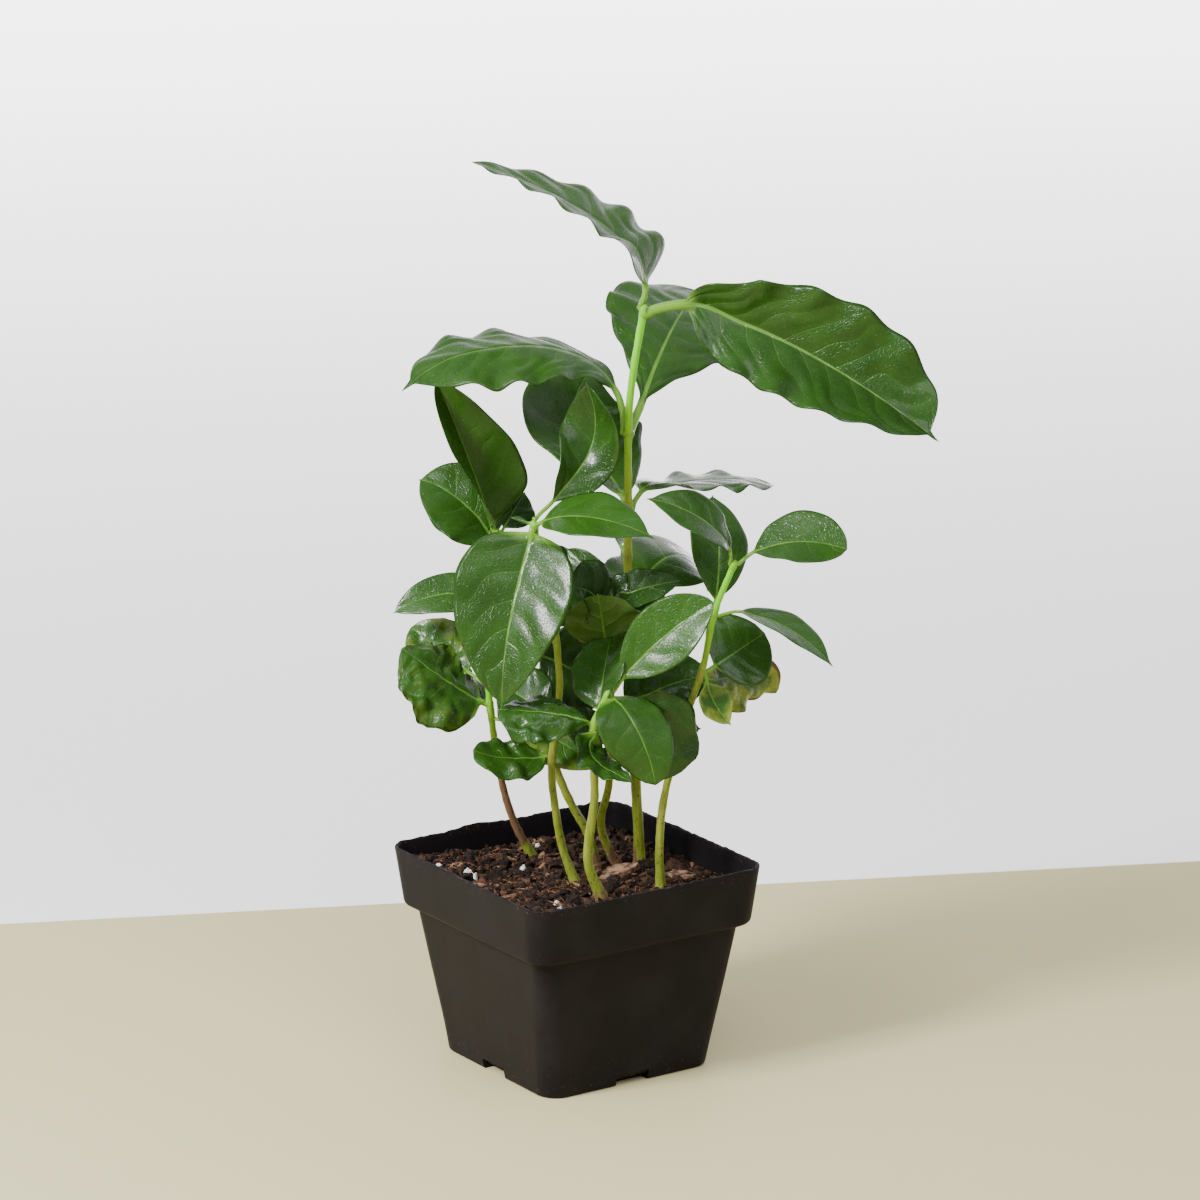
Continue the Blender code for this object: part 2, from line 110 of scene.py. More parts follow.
def swell(points, wavelength, seed):
    """Smooth random relief, about -1 to 1: the sum of sine waves near one length, each in its
    own direction and phase."""
    draw = np.random.default_rng(seed)
    ways = unit(draw.normal(size=(14, points.shape[-1])))
    pace = 2 * np.pi / (wavelength * draw.uniform(0.6, 1.7, 14))
    return np.sin(points @ (ways.T * pace) + draw.uniform(0, 2 * np.pi, 14)).sum(-1) / 4


def tube_faces(rows, columns):
    """Faces of closed rings one after the other, with a face over the first and the last."""
    ring = np.arange(columns)
    after = np.roll(ring, -1)
    start = np.arange(rows - 1)[:, None] * columns
    quads = np.stack([start + ring, start + after, start + columns + after,
                      start + columns + ring], -1).reshape(-1, 4)
    return quads.tolist() + [ring[::-1].tolist(), (ring + (rows - 1) * columns).tolist()]


def put_in(name, data):
    """A new object in the scene, at the origin, with its mesh, lamp or camera."""
    made = bpy.data.objects.new(name, data)
    bpy.context.collection.objects.link(made)
    return made


def make_piece(name, points, finish, stands_for=(), faces=None, fields=(), uv=None):
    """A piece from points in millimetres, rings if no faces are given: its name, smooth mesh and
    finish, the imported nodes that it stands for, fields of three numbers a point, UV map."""
    mesh = bpy.data.meshes.new(name)
    mesh.from_pydata(points.reshape(-1, 3) * MM, [], faces or tube_faces(*points.shape[:2]))
    mesh.shade_smooth()
    for field, values in dict(fields).items():
        mesh.attributes.new(field, "FLOAT_VECTOR", "POINT").data.foreach_set(
            "vector", np.asarray(values, np.float32).ravel())
    if uv is not None:
        corner_points = np.empty(len(mesh.loops), np.int32)
        mesh.loops.foreach_get("vertex_index", corner_points)
        mesh.uv_layers.new(name="size").data.foreach_set(
            "uv", np.asarray(uv, np.float32).reshape(-1, 2)[corner_points].ravel())
    mesh.materials.append(finish)
    piece = put_in(name, mesh)
    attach(piece, "root")
    if stands_for:
        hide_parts(*stands_for)
    return piece


class Pattern:
    """Short ways to work out a pattern in a node tree."""

    def __init__(self, tree):
        self.tree = tree

    def node(self, kind, feeds, out=0, **settings):
        """Add a node; feeds gives its inputs, by number or name, a value or another's output."""
        made = self.tree.nodes.new("ShaderNode" + kind)
        for setting, value in settings.items():
            setattr(made, setting, value)
        for socket, feed in feeds.items():
            if isinstance(feed, bpy.types.NodeSocket):
                self.tree.links.new(feed, made.inputs[socket])
            else:
                made.inputs[socket].default_value = feed
        return made.outputs[out]

    def math(self, operation, *values):
        return self.node("Math", dict(enumerate(values)), operation=operation)

    def times(self, first, *others):
        for other in others:
            first = self.math("MULTIPLY", first, other)
        return first

    def plus(self, first, *others):
        for other in others:
            first = self.math("ADD", first, other)
        return first

    def fade(self, value, start, end, low=0, high=1):
        """Smoothly from low to high as value goes from start to end."""
        return self.node("MapRange", {0: value, 1: start, 2: end, 3: low, 4: high},
                         interpolation_type="SMOOTHSTEP")

    def blend(self, share, first, second):
        """From the first colour to the second by share."""
        first, second = [(*c, 1) if isinstance(c, tuple) else c for c in (first, second)]
        return self.node("Mix", {0: share, 6: first, 7: second}, out=2, data_type="RGBA")

    def place(self):
        return self.node("TexCoord", {}, out=3)

    def noise(self, place, scale, detail, stretch=(1, 1, 1)):
        """Cloudy noise, 0 to 1, about `scale` clouds to a unit, drawn out by stretch."""
        place = self.node("Mapping", {0: place, 3: stretch})
        return self.node("TexNoise", {"Vector": place, "Scale": scale, "Detail": detail})

    def ways(self):
        """The ways that are used most, to be called by their bare names."""
        return self.times, self.plus, self.fade, self.blend, self.noise

    def parts(self, vector):
        """The three numbers of a vector."""
        return self.node("SeparateXYZ", {0: vector}).node.outputs

    def field(self, name):
        """The three numbers of a point's field."""
        return self.parts(self.node("Attribute", {}, out=1, attribute_name=name))


class Finish(Pattern):
    """A material in the making: its uniform values, and the pattern that is joined to them."""

    def __init__(self, name, **plain):
        self.material = bpy.data.materials.new(name)
        self.material.use_nodes = True
        super().__init__(self.material.node_tree)
        self.shader = self.tree.nodes["Principled BSDF"]
        for socket, value in plain.items():
            self.shader.inputs[socket.replace("_", " ")].default_value = value

    def finish(self, colour, roughness=None, relief=None, depth=0.0002):
        """Join the worked-out colour, roughness and relief (in depths of metres) to the shader."""
        self.tree.links.new(colour, self.shader.inputs["Base Color"])
        if roughness is not None:
            self.tree.links.new(roughness, self.shader.inputs["Roughness"])
        if relief is not None:
            bump = self.node("Bump", {"Height": relief, "Distance": depth, "Strength": 1})
            self.tree.links.new(bump, self.shader.inputs["Normal"])
        return self.material


def black_plastic():
    """Matt black: cloudy scuffs, faint upright flow lines, and pale soil dust towards the foot
    and the rim's edge."""
    plastic = Finish("black_plastic", Specular_IOR_Level=0.07)
    times, plus, fade, blend, noise = plastic.ways()
    place = plastic.place()
    height = plastic.parts(place)[2]
    scuffs = fade(noise(place, 45, 6), 0.42, 0.75)
    flow = noise(place, 160, 2, stretch=(1, 1, 0.06))
    grain = noise(place, 2600, 2)
    dust = fade(noise(place, 900, 5), 0.6, 0.78)
    near_edge = fade(height, (POT_HEIGHT - 5) * MM, POT_HEIGHT * MM, 0.05, 0.65)
    near_foot = fade(height, 14 * MM, 0, 0, 0.35)
    dusty = times(dust, plus(near_edge, near_foot))
    colour = blend(scuffs, (0.011, 0.009, 0.0105), (0.0175, 0.015, 0.0165))
    colour = blend(times(flow, 0.25), colour, (0.007, 0.006, 0.006))
    colour = blend(dusty, colour, (0.17, 0.12, 0.085))
    rough = plus(fade(scuffs, 0, 1, 0.44, 0.56), times(dusty, 0.3))
    relief = plus(times(grain, 0.35), times(flow, 0.5))
    return plastic.finish(colour, rough, relief, 0.00008)


def pot_surface():
    """Rings of a rounded square, one for each point of the wall's profile, which runs from under
    the floor up the outside, over the upper edge and down the inside. The walls bow, and the
    upper edge gets its burr and its kink."""
    step = RIM_FOOT + WALL
    profile = eased_profile([
        (FOOT_SIDE / 2 - 6, 0, 0), (FOOT_SIDE / 2, 0, 1.3), (BODY_TOP_SIDE / 2, RIM_FOOT, 0.7),
        (RIM_FOOT_SIDE / 2, RIM_FOOT, 1.9), (RIM_SIDE / 2, POT_HEIGHT, 0.6),
        (RIM_SIDE / 2 - WALL, POT_HEIGHT, 0.6), (RIM_FOOT_SIDE / 2 - WALL, step, 0.8),
        (BODY_TOP_SIDE / 2 - WALL, step, 0.8), (FOOT_SIDE / 2 - WALL, FLOOR, 0.8),
        (FOOT_SIDE / 2 - 7, FLOOR, 0)], spacing=3)
    up = profile[:, 1, None]
    inner = np.arange(len(up)) > np.argmax(up)
    radius = np.where(inner, CORNER - WALL, CORNER) - BODY_CORNER_CUT * (up[:, 0] < RIM_FOOT)
    flat, outward = square_rings(profile[:, 0], radius, 14, 56)
    points = np.dstack([flat, np.broadcast_to(up, flat.shape[:2])])
    wander = WALL_BOW * swell(points * (1, 1, 0.6), BOW_LENGTH, 3) * np.clip(up / 12, 0, 1)
    points[..., :2] += wander[..., None] * outward
    at_edge = np.clip((up - POT_HEIGHT + EDGE_DEPTH) / EDGE_DEPTH, 0, 1)
    burr = EDGE_BURR * (swell(points, 3, 4) - 1.2) + 0.12 * swell(points, 1.3, 5)
    kink = KINK_RISE * np.exp(-((points[..., 0] - KINK_PLACE) / KINK_WIDTH) ** 2)
    kink = kink * (points[..., 1] > RIM_SIDE / 4)
    points[..., 2] += at_edge * burr + np.clip((up - RIM_FOOT - 4) / 16, 0, 1) * kink
    return points


pot = make_piece("pot_shell", pot_surface(), black_plastic(), ["pot"])
# Each drain slot is cut by a box that stands across the foot at the middle of its side.
for quarter in range(4):
    box = np.array([(x, y, z) for z in (-1, 1) for x, y in
                    ((-0.5, -0.5), (0.5, -0.5), (0.5, 0.5), (-0.5, 0.5))]) * NOTCH
    turn = quarter * np.pi / 2
    box = (box - (0, FOOT_SIDE / 2, 0)) @ np.array([
        [np.cos(turn), np.sin(turn), 0], [-np.sin(turn), np.cos(turn), 0], [0, 0, 1]])
    slot_mesh = bpy.data.meshes.new("drain_slot")
    slot_mesh.from_pydata(box * MM, [], tube_faces(2, 4))
    cut = pot.modifiers.new("drain_slot", "BOOLEAN")
    cut.object = put_in("drain_slot", slot_mesh)
    cut.solver = "EXACT"
    bpy.context.view_layer.update()
    carved = bpy.data.meshes.new_from_object(pot.evaluated_get(
        bpy.context.evaluated_depsgraph_get()))
    bpy.data.objects.remove(cut.object)
    pot.modifiers.clear()
    pot.data = carved
pot.data.set_sharp_from_angle(angle=np.radians(CREASE_ANGLE))


# ---- the soil ----
# Peat mixed with shredded bark fills the pot to a finger's width under the rim. The body of it
# is one lumpy mass that follows the pot's inside; crumbs, bark chips, fibres and a few grains of
# perlite lie loose on top, each kind a joined mesh in its own colour.
SOIL_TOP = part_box("soil")[1].z / MM
SOIL_SIDE = 2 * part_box("soil")[1].x / MM
SOIL_GAP = 0.4  # between the soil and the pot's walls
SOIL_LUMP = 1.1  # height of the mounds
SOIL_BANK = 5  # how much higher the soil lies in one corner
CRUMBS = 5200
FIBRES = 520


def soil_height(places):
    """Height of the soil over (x, y): low mounds with smaller lumps, level along the walls, and a
    bank that rises towards the corner at -x and +y."""
    mounds = SOIL_LUMP * swell(places, 26, 11) + 0.45 * swell(places, 8, 12)
    near_wall = np.clip((np.abs(places).max(-1) - SOIL_SIDE / 2 + 7) / 7, 0, 1)
    bank = np.clip(((places[..., 1] - places[..., 0]) / SOIL_SIDE - 0.35) / 0.65, 0, 1) ** 1.5
    return SOIL_TOP - 0.4 + mounds * (1 - near_wall) + 0.5 * near_wall + SOIL_BANK * bank


def soil_colour(name, dark, light, fine):
    """Damp peat: two browns in fine clouds, rough all over."""
    soil = Finish(name, Roughness=0.92, Specular_IOR_Level=0.25)
    place = soil.place()
    clouds = soil.noise(place, fine, 6)
    relief = soil.noise(place, fine * 2.2, 4)
    colour = soil.blend(soil.fade(clouds, 0.35, 0.66), dark, light)
    return soil.finish(colour, None, relief, 0.0006)


def soil_body():
    """Rings of a rounded square: from the middle of the underside out, up along the pot's
    inside, and over the top to the middle, where their height is that of the mounds."""
    foot = FOOT_SIDE / 2 - WALL - SOIL_GAP
    body_top = BODY_TOP_SIDE / 2 - WALL - SOIL_GAP
    step = RIM_FOOT + WALL + 0.3
    side = eased_profile([
        (1, FLOOR + 0.3, 0), (foot, FLOOR + 0.3, 0.5), (body_top, step, 0.3),
        (SOIL_SIDE / 2 - 1.2, step, 0.3), (SOIL_SIDE / 2 - 0.2, SOIL_TOP - 0.8, 0)], spacing=4)
    top = np.stack([np.linspace(SOIL_SIDE / 2 - 0.6, 0.6, 90), np.full(90, SOIL_TOP)], 1)
    profile = np.vstack([side, top])
    half = profile[:, 0]
    flat = square_rings(half, np.minimum(CORNER - WALL, half * 0.8), 8, 40)[0]
    up = np.broadcast_to(profile[:, 1, None], flat.shape[:2]).copy()
    up[len(side):] = soil_height(flat[len(side):]) + 0.25 * swell(flat[len(side):], 2.4, 13)
    return np.dstack([flat, up])


peat = soil_colour("peat", (0.008, 0.005, 0.004), (0.045, 0.024, 0.015), 700)
make_piece("soil_body", soil_body(), peat, ["soil"])


def turned(count, draw):
    """Random turns in space, as (count, 3, 3) matrices, from random unit quaternions."""
    w, x, y, z = (q := draw.normal(size=(4, count))) / np.linalg.norm(q, axis=0)
    return np.stack([1 - 2 * (y * y + z * z), 2 * (x * y - w * z), 2 * (x * z + w * y),
                     2 * (x * y + w * z), 1 - 2 * (x * x + z * z), 2 * (y * z - w * x),
                     2 * (x * z - w * y), 2 * (y * z + w * x), 1 - 2 * (x * x + y * y)],
                    -1).reshape(-1, 3, 3)


def tilted(count, draw, most, headings=None):
    """Turns about the upright, random or to the headings, then a small random tilt, as matrices."""
    turn = draw.uniform(0, 2 * np.pi, count)
    if headings is not None:
        turn = np.radians(headings)
    tip = draw.uniform(-most, most, (2, count))
    z = unit(np.stack([*tip, np.ones(count)], 1))
    x = np.stack([np.cos(turn), np.sin(turn), np.zeros(count)], 1)
    x = unit(x - (x * z).sum(1, keepdims=True) * z)
    return np.stack([x, np.cross(z, x), z], 2)


def scattered(count, draw, margin):
    """Random places on the soil, (count, 2), inside the rounded square of the pot."""
    reach = SOIL_SIDE / 2 - margin
    places = draw.uniform(-reach, reach, (count * 2, 2))
    past = np.linalg.norm(np.clip(np.abs(places) - (reach - 6), 0, None), axis=1)
    return places[past < 6][:count]


def strewn(name, shape, faces, sizes, turns, places, lift, dark, light, fine, draw, rough=0.25):
    """Copies of one small shape as a joined mesh: each copy is stretched by its own sizes, its
    points shaken, turned, and laid `lift` of its height over the soil at its place. Its browns
    go from dark to light in clouds of fineness `fine`."""
    count = len(places)
    shaken = shape[None] * (1 + rough * draw.normal(size=(count, len(shape), 1)))
    copies = np.einsum("cij,cpj->cpi", turns, shaken * sizes[:, None])
    copies[..., :2] += places[:, None]
    copies[..., 2] += (soil_height(places) + lift * sizes[:, 2])[:, None]
    every = (np.arange(count)[:, None, None] * len(shape) + faces[None]).reshape(-1, faces.shape[1])
    colour = soil_colour(name.replace("_grains", ""), dark, light, fine)
    make_piece(name, copies, colour, faces=every.tolist()).data.shade_flat()


def twenty_faces():
    """The icosahedron: the corners (0, 1, golden ratio) turned and mirrored in all ways, and a
    face for each three that lie an edge apart, in the order that turns left from outside."""
    golden = (1 + np.sqrt(5)) / 2
    signs = np.array([(a, b) for a in (-1, 1) for b in (-golden, golden)])
    corners = np.vstack([np.roll(np.column_stack([np.zeros(4), signs]), k, 1) for k in range(3)])
    near = np.abs(np.linalg.norm(corners[:, None] - corners, axis=2) - 2) < 0.01
    faces = np.argwhere(near[:, :, None] & near & near[:, None])
    faces = faces[(faces[:, 0] == faces.min(1)) & (np.linalg.det(corners[faces]) > 0)]
    return corners / np.linalg.norm(corners[0]), faces


lump, lump_faces = twenty_faces()
draw = np.random.default_rng(21)
for kind, share, size, dark, light in (
        ("peat_crumbs_dark", 0.46, 0.8, (0.007, 0.004, 0.003), (0.026, 0.014, 0.009)),
        ("peat_crumbs_brown", 0.36, 0.72, (0.023, 0.011, 0.007), (0.066, 0.032, 0.018)),
        ("peat_crumbs_rust", 0.18, 0.62, (0.052, 0.023, 0.012), (0.125, 0.06, 0.033))):
    places = scattered(int(CRUMBS * share), draw, 1.6)
    sizes = size * np.exp(0.45 * draw.normal(size=(len(places), 1))) * draw.uniform(
        0.55, 1.5, (len(places), 3))
    strewn(kind, lump, lump_faces, sizes, turned(len(places), draw), places, 0.35, dark, light,
           900, draw)


def bar_faces(rows, columns):
    """A tube's faces as triangles: each quad in two, a fan over the first and the last ring."""
    quads = np.array(tube_faces(rows, columns)[:-2])
    fan = np.arange(1, columns - 1)
    end = np.stack([0 * fan, fan, fan + 1], 1)
    return np.vstack([quads[:, :3], quads[:, [0, 2, 3]], end[:, [0, 2, 1]],
                      end + (rows - 1) * columns])


# A bark chip is a flat flake whose outline has nine corners; it lies almost flat.
around = np.arange(9) * 2 * np.pi / 9
rim = np.stack([np.cos(around), np.sin(around)], 1)
flake = np.vstack([np.insert(rim, 2, -0.5, axis=1), np.insert(rim * 0.9, 2, 0.5, axis=1)])
for kind, count, length, dark, light in (
        ("bark_chips_pale", 120, 1.9, (0.11, 0.052, 0.028), (0.28, 0.155, 0.09)),
        ("bark_chips_dark", 230, 1.7, (0.03, 0.015, 0.01), (0.12, 0.058, 0.033))):
    places = scattered(count, draw, 3.5)
    sizes = length * np.exp(0.4 * draw.normal(size=(count, 1)).clip(-2, 1)) * np.column_stack([
        draw.uniform(0.8, 1.6, count), draw.uniform(0.3, 0.7, count), draw.uniform(0.12, 0.3, count)])
    strewn(kind, flake, bar_faces(2, 9), sizes, tilted(count, draw, 0.7), places, 1.6, dark, light,
           500, draw, 0.14)

# Big bark pieces lie at the feet of the tall and the right stem, and a strip in a corner.
places = np.array([(14.5, -5.5), (31, -21), (-33, 39)])
sizes = np.array([(8.5, 3.6, 2.3), (6.5, 3.4, 1.8), (4.5, 0.9, 0.6)])
strewn("bark_pieces", flake, bar_faces(2, 9), sizes, tilted(3, draw, 0.3, (-12, -48, 20)), places,
       0.8, (0.06, 0.032, 0.02), (0.34, 0.2, 0.12), 420, draw, 0.12)

# Fibres are thin three-sided slivers, drawn out and slightly bowed.
along = np.linspace(-1, 1, 6)[:, None]
corner = np.arange(3) * 2 * np.pi / 3
thin = np.sqrt(1.02 - along ** 2)
sliver = np.stack(np.broadcast_arrays(along, thin * np.cos(corner), thin * np.sin(corner) + 2.5 * (
    1 - along ** 2)), -1).reshape(-1, 3)
places = scattered(FIBRES, draw, 4)
sizes = np.insert(np.full((FIBRES, 2), 0.16), 0, draw.uniform(1.2, 4.2, FIBRES), axis=1)
strewn("peat_fibres", sliver, bar_faces(6, 3), sizes, tilted(FIBRES, draw, 0.6), places, 5,
       (0.07, 0.033, 0.018), (0.26, 0.13, 0.07), 600, draw, 0.02)

# Perlite: a few white puffed grains, in three places near the pot's left and front walls.
spots = np.array([(-31, 19), (-30, 23), (-33, 21.5), (-22, -22.5), (-21, -18),
                  (-24, -24), (-38, 33), (8, 37), (35, 10), (-10, 20)])
sizes = draw.uniform(0.8, 1.8, (10, 3))
strewn("perlite_grains", lump, lump_faces, sizes, turned(10, draw), spots, 1.2,
       (0.5, 0.5, 0.46), (0.85, 0.85, 0.82), 900, draw)


# ---- the stems ----
# Seven seedlings stand in the soil, each a slender stem that leans to the light, swollen where a
# pair of leaves grows and flared at the soil. The young skin is green; older skin turns to bark.
STEM_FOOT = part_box("stem_tall")[0].z / MM
STEM_SUNK = 2.5  # how far the visible foot goes down into the loose soil
STEM_FLARE = 0.45  # how much wider the foot is
FLARE_HEIGHT = 4
STEM_ROW = 0.9  # distance between rings
STEM_SIDES = 20
NODE_SWELL = 0.17  # how much wider a stem is at a pair of leaves
NODE_LENGTH = 2.2
RIDGE = 0.045  # depth of ridges and fine ripple
RIPPLE = 0.06  # and of coarse ripple
BARK_FADE = 22  # length over which bark gives way to green skin
FOOT_FADE = 5  # and to the green of a foot
FRONT = 236  # heading of the light that most leaves turn to
# Outline of the blade: where it is widest, how full it is, the share taken by the drip tip, and
# how slowly it widens from the petiole.
LONG = (0.46, 0.75, 0.1, 0.05)
OVAL = (0.46, 0.65, 0.06, 0.05)
ROUND = (0.46, 0.55, 0, 0.05)

# A leaf's numbers come in five groups, and what is left out is as usual. It starts on the stem
# at height `at` and ends `reach` out along `heading` and `rise` up; `arch` lifts and `bow` shifts
# (to the left) the middle of its midrib, most at `peak`, `spring` lifts its beginning, `curl`
# sinks its tip. The blade's upper side looks to heading `face_to` and height `face_up`; `twist`
# turns it along its length, `fold` tilts its halves up, `droop` sinks its margins, `stalk` is how
# thick the petiole is. Then the outline; the relief, with `quilt` and `wave` as shares of the
# usual and `beats` waves; and the age and painted light, from 0 to 1: a lighter green, which is
# partly the leaf's own tone and partly painted light and shade set leaf by leaf for how lit it
# looks, then yellow and brown.
LEAF_GROUPS = (("at", "heading", "reach", "rise", "arch", "bow", "peak", "spring", "curl"),
               ("width", "face_to", "face_up", "petiole", "twist", "fold", "droop", "stalk"),
               ("belly", "full", "drip", "base"), ("quilt", "wave", "pucker", "beats"),
               ("tone_and_painted_light", "yellow", "brown"))

